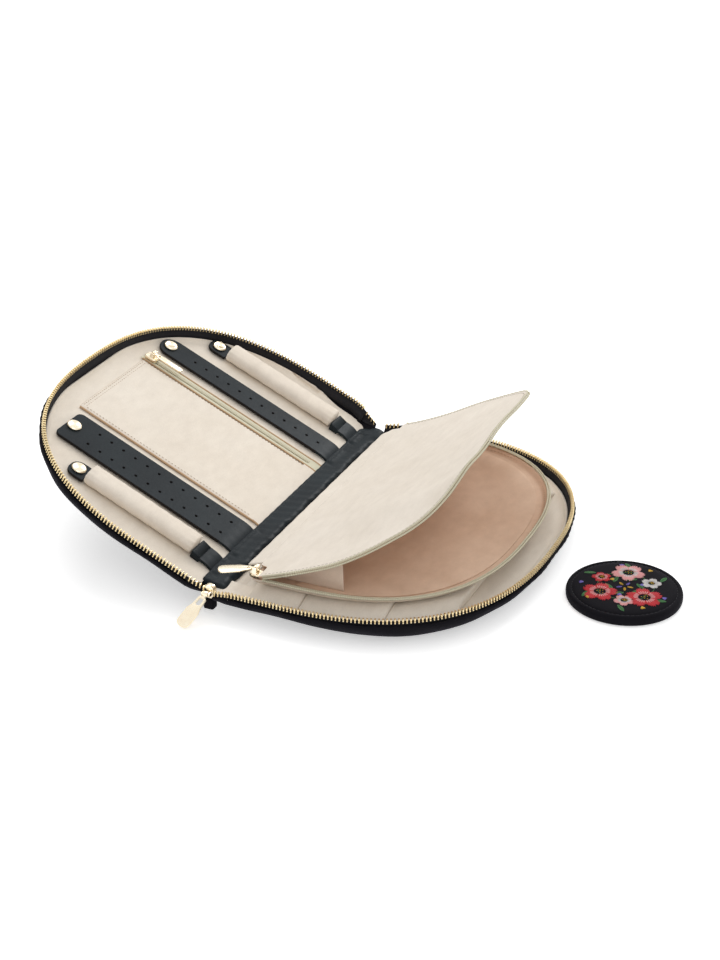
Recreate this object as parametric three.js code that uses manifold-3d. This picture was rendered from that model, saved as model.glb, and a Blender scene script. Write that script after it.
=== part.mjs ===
import * as THREE from 'three';
import * as BufferGeometryUtils from 'three/addons/utils/BufferGeometryUtils.js';
import Module from 'manifold-3d';

const wasm = await Module();
wasm.setup();

// Jewelry organizer: a zip-around padded case that opens like a book.
// Millimetres, +Z up. X runs from the spine to the free end of the tray, Y along the spine.
// The origin is on the tray's flat underside, below the middle of the tray.

const DEG = Math.PI / 180;

// Case halves. Both have the same outline, given by the line of their zip teeth.
const CHAIN_HALF_LENGTH = 127;
const CHAIN_REACH = 153;
const CORNER_DEPTH = 120;
const CORNER_POWER = 2.5;
const SPINE_END_ROUNDING = 24;
const HALF_HEIGHT = 18;
const FOLD_HEIGHT = 3;
const REST_FOLD = 12.25 * DEG;
const OUTLINE_STEPS = 40;

// Padded shells. The wall rounds over into a flat underside that lies inside the line of teeth,
// by an inset that changes along the line: pairs of share of the line from a spine end, and inset.
const SHELL_BULGE = 2;
const FLOOR_THICKNESS = 2.1;
const SHELL_TOP = 14.8;
const SHELL_ROUNDNESS = 1.9;
const UNDERSIDE = [
  [0, 45], [0.05, 42], [0.1, 36], [0.16, 24], [0.23, 18], [0.31, 22], [0.4, 34], [0.5, 44],
];

// Zip round the case.
const TAPE_THICKNESS = 0.9;
const TOOTH_PITCH = 2.24;
const TOOTH_GAP = 0.17;
const TOOTH_DEPTH = 2.6;
const TOOTH_HEIGHT = 3.4;
const TOOTH_OVERLAP = 0.8;

// Linings.
const LINING_TOP = 9.2;
const LINING_INSET = 3.7;
const LINING_START = 3.2;
const LINING_REACH = 147;
const LID_BOARD_THICKNESS = 3;

// Gaps between pieces that lie on each other.
const REST_GAP = 0.3;
const SLIDE_GAP = 0.35;

// Spine.
const SPINE_HALF_LENGTH = 103;
const SPINE_CORNER = 9;
const SPINE_THICKNESS = 2.7;
const SPINE_LINING_THICKNESS = 2;
const BAND_START = 10.2;
const BAND_END = 21.8;
const BINDING_END = 27.3;
const BINDING_THICKNESS = 0.6;
const BAND_HEIGHT = 3.9;
const BAND_HALF_LENGTH = 112;
const BAND_HEAD_LENGTH = 11.5;
const BAND_HEAD_END = 119.5;
const BAND_HEAD_HEIGHT = 5.7;

// Straps that carry earrings, with punched holes.
const STRAP_THICKNESS = 1.9;
const STRAP_ROOT = 6.2;
const NARROW_STRAP = { y: 67, width: 19, end: 135.5, snapInset: 7, round: 9.2 };
const WIDE_STRAP = { y: -62, width: 29.5, end: 128.6, snapInset: 5.1, round: 4 };
const HOLE_COUNT = 12;
const HOLE_FIRST = 9.5;
const HOLE_LAST = 108.4;
const HOLE_RADIUS = 1.2;
const HOLE_SIDES = 6;
const HOLE_ROW_OFFSET = 7;

// Stuffed rolls that hold rings.
const ROLL_WIDTH = 15.4;
const ROLL_HEIGHT = 9.6;
const UPPER_ROLL = { y: 98, end: 98, tabLength: 15.5, snapOffset: 8.7 };
const LOWER_ROLL = { y: -94, end: 91.5, tabLength: 13.5, snapOffset: 7.5 };
const ANCHOR_END = 12.5;
const TAB_WIDTH = 14.6;

// Press studs.
const SNAP_RADIUS = 4.7;
const SNAP_HEIGHT = 1.7;
const STUD_RADIUS = 3.2;

// Zip pocket between the straps.
const POCKET_LOW = -39;
const POCKET_HIGH = 40.6;
const POCKET_END = 134;
const POCKET_ZIP_Y = 45;
const POCKET_ZIP_END = 137;
const POCKET_SLIDER_U = 130;
const COIL_WIDTH = 2.4;
const COIL_HEIGHT = 1.3;
const TAPE_STRIP_WIDTH = 8.4;

// Zip sliders and pulls.
const EYE_RADIUS = 1.7;
const BAR_RADIUS = 0.7;
const EYE_WIDTH = 3;
const PLATE_THICKNESS = 1.2;
const MAIN_PULL_LENGTH = 24;
const MAIN_PULL_WIDTH = 9;
const MAIN_PULL_ARM = 2.6;
const MAIN_PULL_FORK = 9.5;
const SMALL_PULL_LENGTH = 22;
const SMALL_PULL_WIDTH = 7.2;
const POCKET_PULL_WIDTH = 4.4;
const SMALL_PULL_ARM = 1.9;
const SMALL_PULL_FORK = 6.5;
const MAIN_SLIDER_U = -12;
const MAIN_SLIDER_Y = -CHAIN_HALF_LENGTH + 3;
const MAIN_SLIDER_Z = 15.5;
const MAIN_PULL_DROOP = 36 * DEG;
const MAIN_PULL_SKEW = 18 * DEG;
const PAGE_PULL_SKEW = 26 * DEG;

// Zipped page that lies over the tray.
const PAGE_INSET = 13.8;
const PAGE_ROOT = 8.2;
const PAGE_BOTTOM = 18.3;
const PAGE_SHEET = 1.3;
const PAGE_RIM = 22.3;
const PAGE_SLIDER_U = 10.5;
const PAGE_HALF_LENGTH = CHAIN_HALF_LENGTH - PAGE_INSET;
const PAGE_SLIDER_Y = -PAGE_HALF_LENGTH + 4.7;
const PAGE_SLIDER_CLEAR = -PAGE_SLIDER_Y - 6.5;
const FLAP_ROOT_U = -2;
const FLAP_ROOT_Z = 19;
const FLAP_START = PAGE_ROOT + 0.4;
const FLAP_THICKNESS = 1.1;
const FLAP_RISE = 0.3;
const FLAP_CURL_LENGTH = 530;
const FLAP_TWIST = 0.11;
const FLAP_TWIST_START = 45;
const FLAP_TWIST_FULL = 95;
const FLAP_TWIST_DEPTH = 70;
const FLAP_FRONT_STEP = 7;
const FLAP_FRONT_RUN = 6;
const HEM_THICKNESS = 0.9;
const HEM_LOW = 16.9;
const HEM_HIGH = 21.5;
const HEM_FRONT = -PAGE_HALF_LENGTH + 15.2;
const HEM_BACK = PAGE_HALF_LENGTH - 9.2;
const FLAP_ROOT_INSET = 8;
const FLAP_COIL_START = 14;
const INNER_POCKET_START = 34;
const INNER_POCKET_END = 126;
const INNER_POCKET_INSET = 7;

// Slip pockets under the page, one behind the other.
const POCKET_MOUTHS = [41, 91, 125];
const POCKET_STACK_TOP = 17.9;
const POCKET_SIDE = CHAIN_HALF_LENGTH - 23;
const LAST_POCKET_SIDE = CHAIN_HALF_LENGTH - 37;

// Round mirror that lies beside the case.
const MIRROR_X = 123.3;
const MIRROR_Y = -5.8;
const MIRROR_RADIUS = 34.5;
const MIRROR_THICKNESS = 7.2;
const MIRROR_SEAM_INSET = 3.4;

// Materials.
const finish = (color, roughness, metalness) =>
  new THREE.MeshStandardMaterial({ color, roughness, metalness });
const VELVET = finish(0x0b0b0d, 0.95, 0);
const TAPE = finish(0x121214, 0.85, 0);
const SUEDE = finish(0xe3d9cb, 0.9, 0);
const SUEDE_SHADE = finish(0xd9cdbd, 0.9, 0);
const POUCH_CLOTH = finish(0xb99b82, 0.9, 0);
const LEATHER = finish(0x2d383d, 0.6, 0);
const GOLD = finish(0xd9b878, 0.3, 1);
const COIL = finish(0xd7d0bc, 0.7, 0);
const GLASS = finish(0xdfe4e6, 0.05, 1);

// Scene graph: the tray stands still, the spine folds on it, the lid folds on the spine.
const FOLD_X = -(CHAIN_REACH + SHELL_BULGE) / 2;
const SPINE_WIDTH = 2 * (HALF_HEIGHT - FOLD_HEIGHT);
const part = new THREE.Group();
const tray = new THREE.Group();
const spine = new THREE.Group();
const lid = new THREE.Group();
tray.position.set(FOLD_X, 0, 0);
spine.position.set(FOLD_X, 0, FOLD_HEIGHT);
spine.rotation.y = REST_FOLD;
lid.position.set(-SPINE_WIDTH, 0, 0);
lid.rotation.y = REST_FOLD;
part.add(tray, spine);
spine.add(lid);

// Geometry with shared vertices and positions only, as the cuts below need it.
function bare(geometry) {
  const g = geometry.index ? geometry.toNonIndexed() : geometry.clone();
  g.deleteAttribute('normal');
  g.deleteAttribute('uv');
  return BufferGeometryUtils.mergeVertices(g, 1e-5);
}

function toSolid(geometry) {
  const g = bare(geometry);
  return new wasm.Manifold(new wasm.Mesh({
    numProp: 3,
    vertProperties: new Float32Array(g.attributes.position.array),
    triVerts: new Uint32Array(g.index.array),
  }));
}

function fromSolid(solid) {
  const mesh = solid.getMesh();
  const g = new THREE.BufferGeometry();
  g.setAttribute('position', new THREE.BufferAttribute(new Float32Array(mesh.vertProperties), 3));
  g.setIndex(new THREE.BufferAttribute(new Uint32Array(mesh.triVerts), 1));
  return g;
}

function cut(body, ...tools) {
  let solid = toSolid(body);
  for (const tool of tools) {
    solid = solid.subtract(toSolid(tool));
  }
  return fromSolid(solid);
}

function join(...bodies) {
  let solid = toSolid(bodies[0]);
  for (const body of bodies.slice(1)) {
    solid = solid.add(toSolid(body));
  }
  return fromSolid(solid);
}

function addMesh(group, name, geometry, material) {
  const g = bare(geometry);
  g.computeVertexNormals();
  const mesh = new THREE.Mesh(g, material);
  mesh.name = name;
  group.add(mesh);
  return mesh;
}

// The lid is the tray's mirror image, with its fold axis as origin.
function addToLid(name, geometry, material) {
  const g = bare(geometry);
  const pos = g.attributes.position;
  for (let i = 0; i < pos.count; i += 1) {
    pos.setXYZ(i, -pos.getX(i), pos.getY(i), pos.getZ(i) - FOLD_HEIGHT);
  }
  const index = g.index;
  for (let i = 0; i < index.count; i += 3) {
    const first = index.getX(i);
    index.setX(i, index.getX(i + 1));
    index.setX(i + 1, first);
  }
  return addMesh(lid, name, g, material);
}

function addToTray(name, geometry, material) {
  return addMesh(tray, name, geometry, material);
}

function box(u0, u1, y0, y1, z0, z1) {
  const g = new THREE.BoxGeometry(u1 - u0, y1 - y0, z1 - z0);
  g.translate((u0 + u1) / 2, (y0 + y1) / 2, (z0 + z1) / 2);
  return g;
}

// Points on the line of teeth, from the front spine end round the free end to the back.
function chainPoint(t) {
  const straight = CHAIN_REACH - CORNER_DEPTH;
  const turn = (t - 0.5) * 2;
  const share = 0.14;
  if (Math.abs(turn) > 1 - share) {
    const along = straight * (1 - (Math.abs(turn) - (1 - share)) / share);
    let y = Math.sign(turn) * CHAIN_HALF_LENGTH;
    const inward = SPINE_END_ROUNDING * 0.6 - along;
    if (turn > 0 && inward > 0) {
      const r = SPINE_END_ROUNDING;
      y -= r - Math.sqrt(r * r - inward * inward);
    }
    return new THREE.Vector2(along, y);
  }
  const angle = (turn / (1 - share)) * (Math.PI / 2);
  const power = 2 / CORNER_POWER;
  const u = straight + CORNER_DEPTH * Math.pow(Math.abs(Math.cos(angle)), power);
  const y = CHAIN_HALF_LENGTH * Math.sign(angle) * Math.pow(Math.abs(Math.sin(angle)), power);
  return new THREE.Vector2(u, y);
}

// The same line as evenly spaced points.
const FINE_LINE = new THREE.Path(
  Array.from({ length: 901 }, (_, i) => chainPoint(i / 900)),
);
const CHAIN_LENGTH = FINE_LINE.getLength();

function lineAt(distance) {
  const share = THREE.MathUtils.clamp(distance / CHAIN_LENGTH, 0, 1);
  const step = 0.4 / CHAIN_LENGTH;
  const point = FINE_LINE.getPointAt(share);
  const before = FINE_LINE.getPointAt(Math.max(0, share - step));
  const after = FINE_LINE.getPointAt(Math.min(1, share + step));
  const along = after.sub(before).normalize();
  return { point, along, out: new THREE.Vector2(along.y, -along.x) };
}

// Distance along the line at which it comes within the given distance from the fold, from either end.
function lineStart(start, fromBack) {
  let low = 0;
  let high = CHAIN_LENGTH / 3;
  for (let i = 0; i < 30; i += 1) {
    const mid = (low + high) / 2;
    const at = fromBack ? CHAIN_LENGTH - mid : mid;
    if (lineAt(at).point.x < start) {
      low = mid;
    } else {
      high = mid;
    }
  }
  return low;
}

// Outline at an offset from the teeth, starting and ending at the given distance from the fold.
// The offset is a length, or a function of the share of the line. Beside the fold it runs along Y.
function outline(offset, start, reach = Infinity, steps = OUTLINE_STEPS) {
  const points = [];
  const first = lineStart(start, false);
  const last = CHAIN_LENGTH - lineStart(start, true);
  for (let i = 0; i <= steps; i += 1) {
    const distance = first + (i / steps) * (last - first);
    const { point, out } = lineAt(distance);
    const side = point.x < SPINE_END_ROUNDING ? new THREE.Vector2(0, Math.sign(point.y)) : out;
    const far = typeof offset === 'function' ? offset(distance / CHAIN_LENGTH) : offset;
    const p = point.clone().addScaledVector(side, far);
    p.x = Math.min(p.x, reach);
    points.push(p);
  }
  points[0].x = start;
  points[steps].x = start;
  return points;
}

// A closed body through a pile of outlines that all have the same number of points.
function pile(levels) {
  const count = levels[0].points.length;
  const positions = [];
  for (const level of levels) {
    for (const p of level.points) {
      positions.push(p.x, p.y, level.z);
    }
  }
  const index = [];
  for (let k = 0; k + 1 < levels.length; k += 1) {
    for (let i = 0; i < count; i += 1) {
      const j = (i + 1) % count;
      const a = k * count + i;
      const b = k * count + j;
      const c = a + count;
      const d = b + count;
      index.push(a, b, d, a, d, c);
    }
  }
  const last = (levels.length - 1) * count;
  const bottom = THREE.ShapeUtils.triangulateShape(levels[0].points, []);
  const top = THREE.ShapeUtils.triangulateShape(levels[levels.length - 1].points, []);
  for (const [a, b, c] of bottom) {
    index.push(a, c, b);
  }
  for (const [a, b, c] of top) {
    index.push(last + a, last + b, last + c);
  }
  const g = new THREE.BufferGeometry();
  g.setAttribute('position', new THREE.Float32BufferAttribute(positions, 3));
  g.setIndex(index);
  return g;
}

function outlinePile(profile, start, reach) {
  return pile(profile.map(([offset, z]) => ({ points: outline(offset, start, reach), z })));
}

// Rounded rectangle as a shape, centred, with each end's corner radius.
function tabShape(u0, u1, width, startRound, endRound) {
  const shape = new THREE.Shape();
  const half = width / 2;
  shape.moveTo(u0 + startRound, -half);
  shape.lineTo(u1 - endRound, -half);
  shape.absarc(u1 - endRound, -half + endRound, endRound, -Math.PI / 2, 0);
  shape.lineTo(u1, half - endRound);
  shape.absarc(u1 - endRound, half - endRound, endRound, 0, Math.PI / 2);
  shape.lineTo(u0 + startRound, half);
  shape.absarc(u0 + startRound, half - startRound, startRound, Math.PI / 2, Math.PI);
  shape.lineTo(u0, -half + startRound);
  shape.absarc(u0 + startRound, -half + startRound, startRound, Math.PI, Math.PI * 1.5);
  return shape;
}

function slab(shape, z0, z1, bevel = 0, curveSegments = 6) {
  const g = new THREE.ExtrudeGeometry(shape, {
    depth: z1 - z0 - 2 * bevel,
    bevelEnabled: bevel > 0,
    bevelSize: bevel,
    bevelThickness: bevel,
    bevelOffset: -bevel,
    bevelSegments: 1,
    curveSegments,
  });
  g.translate(0, 0, z0 + bevel);
  return g;
}

// Shells
const TAPE_HALF = TAPE_THICKNESS / 2;

function undersideInset(share) {
  const fromEnd = Math.min(share, 1 - share);
  let i = 1;
  while (i + 1 < UNDERSIDE.length && UNDERSIDE[i][0] < fromEnd) {
    i += 1;
  }
  const [s0, d0] = UNDERSIDE[i - 1];
  const [s1, d1] = UNDERSIDE[i];
  return THREE.MathUtils.mapLinear(fromEnd, s0, s1, d0, d1);
}

// Offset of the rounded wall at a share of its height, for a wall that ends at the given offset.
function wallOffset(height, top, share) {
  const inset = undersideInset(share);
  const run = Math.pow(1 - Math.pow(1 - height, SHELL_ROUNDNESS), 1 / SHELL_ROUNDNESS);
  return -inset + (inset + top) * run;
}

const OUTER_HEIGHTS = [0, 0.035, 0.11, 0.23, 0.42, 0.65, 1];
const INNER_HEIGHTS = [0, 0.06, 0.18, 0.34, 0.5, 0.62, 1];
const CAVITY_OFFSET = TAPE_HALF + REST_GAP;
const CAVITY_HEIGHT = SHELL_TOP - FLOOR_THICKNESS;

function shellHalf() {
  const outer = outlinePile(OUTER_HEIGHTS.map((height) => [
    (share) => wallOffset(height, SHELL_BULGE, share), height * SHELL_TOP,
  ]), REST_GAP);
  const inner = outlinePile([
    ...INNER_HEIGHTS.map((height) => [
      (share) => wallOffset(height, CAVITY_OFFSET, share), FLOOR_THICKNESS + height * CAVITY_HEIGHT,
    ]),
    [CAVITY_OFFSET, SHELL_TOP + 2],
  ], -6);
  return cut(outer, inner);
}

// The tape follows the cavity's wall from above the lining to the shell's edge, then stands up.
function tapeHalf() {
  const top = HALF_HEIGHT + TOOTH_OVERLAP - TOOTH_HEIGHT - 0.1;
  const height = INNER_HEIGHTS[INNER_HEIGHTS.length - 2];
  const bottom = FLOOR_THICKNESS + height * CAVITY_HEIGHT;
  const low = (share) => wallOffset(height, CAVITY_OFFSET, share) - REST_GAP;
  const lowInner = (share) => low(share) - TAPE_THICKNESS;
  const outer = outlinePile([[low, bottom], [TAPE_HALF, SHELL_TOP], [TAPE_HALF, top]], REST_GAP);
  const inner = outlinePile([
    [lowInner, bottom - 1], [lowInner, bottom], [-TAPE_HALF, SHELL_TOP], [-TAPE_HALF, top + 1],
  ], -6);
  return cut(outer, inner);
}

// A row of teeth in one piece: a low cord along the tape's edge with a tooth standing at each step.
const CORD_HEIGHT = 1.2;
const CORD_RUN = 5;
const TOOTH_LENGTH = TOOTH_PITCH / 2 - TOOTH_GAP;

function teethRow(sectionAt, first, count) {
  const positions = [];
  const index = [];
  const half = TOOTH_DEPTH / 2;
  const corner = (place, side, z) => {
    positions.push(place.point.x + place.out.x * side * half, place.point.y + place.out.y * side * half, z);
    return positions.length / 3 - 1;
  };
  const section = (distance) => {
    const place = sectionAt(distance);
    const top = HALF_HEIGHT + TOOTH_OVERLAP - place.drop;
    const low = top - TOOTH_HEIGHT;
    return { place, top, low, cord: low + CORD_HEIGHT };
  };
  const starts = [];
  const ends = [];
  for (let i = 0; i <= count; i += 1) {
    const s = section(first + i * TOOTH_PITCH);
    const low = i % CORD_RUN === 0 || i === count;
    starts.push({
      ob: low ? corner(s.place, 1, s.low) : -1, ib: low ? corner(s.place, -1, s.low) : -1,
      oc: corner(s.place, 1, s.cord), ic: corner(s.place, -1, s.cord),
      ot: i < count ? corner(s.place, 1, s.top) : -1,
      it: i < count ? corner(s.place, -1, s.top) : -1,
    });
    if (i < count) {
      const e = section(first + i * TOOTH_PITCH + TOOTH_LENGTH);
      ends.push({
        oc: corner(e.place, 1, e.cord), ic: corner(e.place, -1, e.cord),
        ot: corner(e.place, 1, e.top), it: corner(e.place, -1, e.top),
      });
    }
  }
  const quad = (a, b, c, d) => index.push(a, b, c, a, c, d);
  for (let i = 0; i < count; i += CORD_RUN) {
    const next = Math.min(count, i + CORD_RUN);
    const a = starts[i];
    const c = starts[next];
    quad(a.ob, a.ib, c.ib, c.ob);
    index.push(a.ob, c.ob, c.oc, a.ib, c.ic, c.ib);
    for (let j = next - 1; j >= i; j -= 1) {
      index.push(a.ob, starts[j + 1].oc, ends[j].oc, a.ob, ends[j].oc, starts[j].oc);
      index.push(a.ib, ends[j].ic, starts[j + 1].ic, a.ib, starts[j].ic, ends[j].ic);
    }
  }
  for (let i = 0; i < count; i += 1) {
    const a = starts[i];
    const b = ends[i];
    const c = starts[i + 1];
    quad(a.oc, b.oc, b.ot, a.ot);
    quad(a.ic, a.it, b.it, b.ic);
    quad(a.ot, b.ot, b.it, a.it);
    quad(a.oc, a.ot, a.it, a.ic);
    quad(b.oc, b.ic, b.it, b.ot);
    quad(b.oc, c.oc, c.ic, b.ic);
  }
  const head = starts[0];
  const tail = starts[count];
  quad(head.ob, head.oc, head.ic, head.ib);
  quad(tail.ob, tail.ib, tail.ic, tail.oc);
  const g = new THREE.BufferGeometry();
  g.setAttribute('position', new THREE.Float32BufferAttribute(positions, 3));
  g.setIndex(index);
  return g;
}

const TEETH_MARGIN = 1;
const TOOTH_COUNT = Math.floor((CHAIN_LENGTH - 2 * TEETH_MARGIN) / TOOTH_PITCH) - 1;

function teeth(shift) {
  const at = (distance) => ({ ...lineAt(distance), drop: 0 });
  return teethRow(at, TEETH_MARGIN + shift * TOOTH_PITCH, TOOTH_COUNT);
}

// A straight run of a few teeth from the fold towards the slider, sinking as it goes.
function tailTeeth(start, count, y, drop, slope, inward) {
  const at = (distance) => ({
    point: new THREE.Vector2(start - distance, y + inward * distance),
    out: new THREE.Vector2(0, 1),
    drop: drop + slope * distance,
  });
  return teethRow(at, 0, count);
}

addToTray('tray_shell', shellHalf(), VELVET);
addToTray('tray_zip_tape', tapeHalf(), TAPE);
addToTray('tray_zip_teeth', teeth(0), GOLD);
addToLid('lid_shell', shellHalf(), VELVET);
addToLid('lid_zip_tape', tapeHalf(), TAPE);
addToLid('lid_zip_teeth', teeth(0.5), GOLD);

// Linings: a full pad in the tray, a thinner board on a rim in the lid.
const PAD_HEIGHTS = [0, 0.06, 0.18, 0.34, 0.5];
const PAD_EDGE_ROUNDING = 0.7;
const padLevel = (height, z, inward) => [
  (share) => Math.min(-LINING_INSET, wallOffset(height, CAVITY_OFFSET, share) - REST_GAP) - inward, z,
];
const padBottom = FLOOR_THICKNESS + REST_GAP;
const pad = outlinePile([
  ...PAD_HEIGHTS.map((height) => padLevel(height, padBottom + height * CAVITY_HEIGHT, 0)),
  padLevel(PAD_HEIGHTS[PAD_HEIGHTS.length - 1], LINING_TOP, PAD_EDGE_ROUNDING),
], LINING_START, LINING_REACH);
addToTray('tray_lining', pad, SUEDE);
const BOARD_RIM = 4;
const hollowOffset = (share) => -undersideInset(share) - BOARD_RIM;
const boardHollow = outlinePile(
  [[hollowOffset, -1], [hollowOffset, LINING_TOP - LID_BOARD_THICKNESS]],
  LINING_START + BOARD_RIM, LINING_REACH - BOARD_RIM,
);
addToLid('lid_lining', cut(pad, boardHollow), SUEDE);

// Spine: velvet panel, lining with cut corners, and a stuffed leather band with a flat binding.
function spineSlab(e0, e1, half, z0, z1, rise) {
  const shape = new THREE.Shape();
  shape.moveTo(-e1, z0);
  shape.lineTo(-e0, z0);
  const mid = -(e0 + e1) / 2;
  const wide = (e1 - e0) / 2;
  const steps = 10;
  for (let i = 0; i <= steps; i += 1) {
    const angle = (i / steps) * Math.PI;
    const lift = Math.pow(Math.sin(angle), 0.6) * rise;
    shape.lineTo(mid + wide * Math.cos(angle), z1 + lift);
  }
  const g = new THREE.ExtrudeGeometry(shape, { depth: 2 * half, bevelEnabled: false });
  g.rotateX(Math.PI / 2);
  g.translate(0, half, 0);
  return g;
}

// Flat plate on the spine through points given as distance from the tray's fold, and Y.
function spinePlate(points, z0, z1) {
  const shape = new THREE.Shape(points.map(([e, y]) => new THREE.Vector2(-e, y)));
  return slab(shape, z0, z1);
}

function cutCorners(e0, e1, half, corner) {
  const side = corner * 0.6;
  return [
    [e0, -half + corner], [e0 + side, -half], [e1 - side, -half], [e1, -half + corner],
    [e1, half - corner], [e1 - side, half], [e0 + side, half], [e0, half - corner],
  ];
}

const panelPlan = cutCorners(REST_GAP, SPINE_WIDTH - REST_GAP, SPINE_HALF_LENGTH, SPINE_CORNER / 2);
addMesh(spine, 'spine_panel', spinePlate(panelPlan, -FOLD_HEIGHT, -FOLD_HEIGHT + SPINE_THICKNESS), VELVET);
const liningBottom = -FOLD_HEIGHT + SPINE_THICKNESS + REST_GAP;
const liningTop = liningBottom + SPINE_LINING_THICKNESS;
const liningPlan = cutCorners(
  2 * REST_GAP, SPINE_WIDTH - 2 * REST_GAP, SPINE_HALF_LENGTH + SPINE_CORNER / 2, 2 * SPINE_CORNER,
);
addMesh(spine, 'spine_lining', spinePlate(liningPlan, liningBottom, liningTop), SUEDE);
const bandBottom = liningTop + REST_GAP;
const bandRoll = spineSlab(BAND_START, BAND_END, BAND_HALF_LENGTH, bandBottom, bandBottom + 1, BAND_HEIGHT - 1);
const BINDING_HALF = BAND_HALF_LENGTH - 1;
const binding = spinePlate([
  [BAND_START + 1, -BINDING_HALF], [BINDING_END, -BINDING_HALF], [BINDING_END, BINDING_HALF - 9],
  [BINDING_END - 5, BINDING_HALF + 3], [BAND_END - 3, BINDING_HALF + 7], [BAND_START + 1, BINDING_HALF + 7],
  [BAND_START - 4, BINDING_HALF + 1], [BAND_START - 5, BINDING_HALF - 5], [BAND_START + 1, BINDING_HALF - 14],
], bandBottom, bandBottom + BINDING_THICKNESS);
const bandHead = spineSlab(
  BAND_START + 0.8, SPINE_WIDTH - BAND_START - 0.8, BAND_HEAD_LENGTH / 2, bandBottom, bandBottom + 1.5, BAND_HEAD_HEIGHT - 1.5,
);
bandHead.translate(0, BAND_HEAD_END - BAND_HEAD_LENGTH / 2, 0);
addMesh(spine, 'spine_leather_band', join(bandRoll, binding, bandHead), LEATHER);

// Pull tab with an eye round the slider's bar; the eye turns about Y, the plate lies along +X.
// Two arms leave an opening beside the eye and join into a solid plate at the given fork length.
function pullTab(length, width, skew, arm, fork) {
  const outer = new THREE.CylinderGeometry(EYE_RADIUS, EYE_RADIUS, EYE_WIDTH, 12);
  const bore = new THREE.CylinderGeometry(BAR_RADIUS + 0.3, BAR_RADIUS + 0.3, EYE_WIDTH + 2, 9);
  const neckHalf = EYE_WIDTH / 3;
  const neck = box(BAR_RADIUS + 0.5, 3.4, -neckHalf, neckHalf, -PLATE_THICKNESS / 2, PLATE_THICKNESS / 2);
  const half = width / 2;
  const round = half * 0.8;
  const side = [[2.6, arm - 0.8], [3.3, arm], [fork, arm + (half - arm) * 0.35], [fork + 3, half]];
  for (let i = 0; i <= 4; i += 1) {
    const angle = (i / 4) * (Math.PI / 2);
    side.push([length - round + round * Math.sin(angle), half - round + round * Math.cos(angle)]);
  }
  const shape = new THREE.Shape([
    ...side.map(([x, y]) => new THREE.Vector2(x, -y)),
    ...side.reverse().map(([x, y]) => new THREE.Vector2(x, y)),
  ]);
  const hole = [[3.8, arm - 1.2], [fork - 1.8, arm - 0.95], [fork - 1, 0]];
  shape.holes.push(new THREE.Path([
    ...hole.map(([x, y]) => new THREE.Vector2(x, y)),
    ...hole.slice(0, 2).reverse().map(([x, y]) => new THREE.Vector2(x, -y)),
  ]));
  const plate = slab(shape, -PLATE_THICKNESS / 2, PLATE_THICKNESS / 2, 0, 4);
  const flat = join(neck, plate);
  flat.rotateZ(skew);
  return cut(join(outer, flat), bore);
}

// Slider body with two cheeks and a bar that the pull's eye turns on. The bar is at the origin.
function slider(length, width, thickness, barHeight) {
  const shape = tabShape(-length / 2, length / 2, width, width * 0.42, width * 0.25);
  const body = slab(shape, -barHeight - thickness, -barHeight, 0.35, 3);
  const cheekWidth = 0.9;
  const inner = EYE_WIDTH / 2 + 0.3;
  const cheeks = [-1, 1].map((side) => {
    const lo = side > 0 ? inner : -inner - cheekWidth;
    return box(-1.2, 1.2, lo, lo + cheekWidth, -barHeight - 0.5, 1.1);
  });
  const bar = new THREE.CylinderGeometry(BAR_RADIUS, BAR_RADIUS, 2 * inner + cheekWidth, 8);
  return join(body, ...cheeks, bar);
}

// Main slider at the front end of the spine, facing forward, with the pull hanging askew.
const SLIDER_THICKNESS = 4.2;
const MAIN_BAR_HEIGHT = 2.3;
const frontFacing = new THREE.Matrix4().makeBasis(
  new THREE.Vector3(0, 0, -1), new THREE.Vector3(1, 0, 0), new THREE.Vector3(0, -1, 0),
);
const mainPivot = new THREE.Vector3(
  MAIN_SLIDER_U, MAIN_SLIDER_Y - SLIDER_THICKNESS / 2 - MAIN_BAR_HEIGHT, MAIN_SLIDER_Z,
);
const mainSlider = slider(8, 7, SLIDER_THICKNESS, MAIN_BAR_HEIGHT);
mainSlider.applyMatrix4(frontFacing);
mainSlider.translate(mainPivot.x, mainPivot.y, mainPivot.z);
addToTray('zip_slider', mainSlider, GOLD);
const mainPull = pullTab(MAIN_PULL_LENGTH, MAIN_PULL_WIDTH, -MAIN_PULL_SKEW, MAIN_PULL_ARM, MAIN_PULL_FORK);
mainPull.rotateY(-(Math.PI / 2 - MAIN_PULL_DROOP));
mainPull.applyMatrix4(frontFacing);
mainPull.translate(mainPivot.x, mainPivot.y, mainPivot.z);
addToTray('zip_pull', mainPull, GOLD);

// Chain tail and velvet end tab that lead from the tray's chain to the slider.
const tailEnd = MAIN_SLIDER_U + 3.5 + 0.4;
const tailTape = box(tailEnd, 0, -CHAIN_HALF_LENGTH - TAPE_HALF, -CHAIN_HALF_LENGTH + TAPE_HALF, 9, 13.4);
addToTray('zip_tail_tape', tailTape, TAPE);
addToTray('zip_tail_teeth', tailTeeth(-0.5, 3, -CHAIN_HALF_LENGTH, 1, 0.15, 0), GOLD);
const endTab = slab(tabShape(-3.4, 3.4, 6, 1.5, 1.5), 1, 11.1, 0, 3);
endTab.translate(MAIN_SLIDER_U, MAIN_SLIDER_Y, 0);
addToTray('zip_end_tab', endTab, VELVET);

// The lid's chain runs out towards the slider too.
addToLid('lid_zip_tail', tailTeeth(-0.45, 3, -CHAIN_HALF_LENGTH, 0.8, 0.5, 0.1), GOLD);

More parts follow.
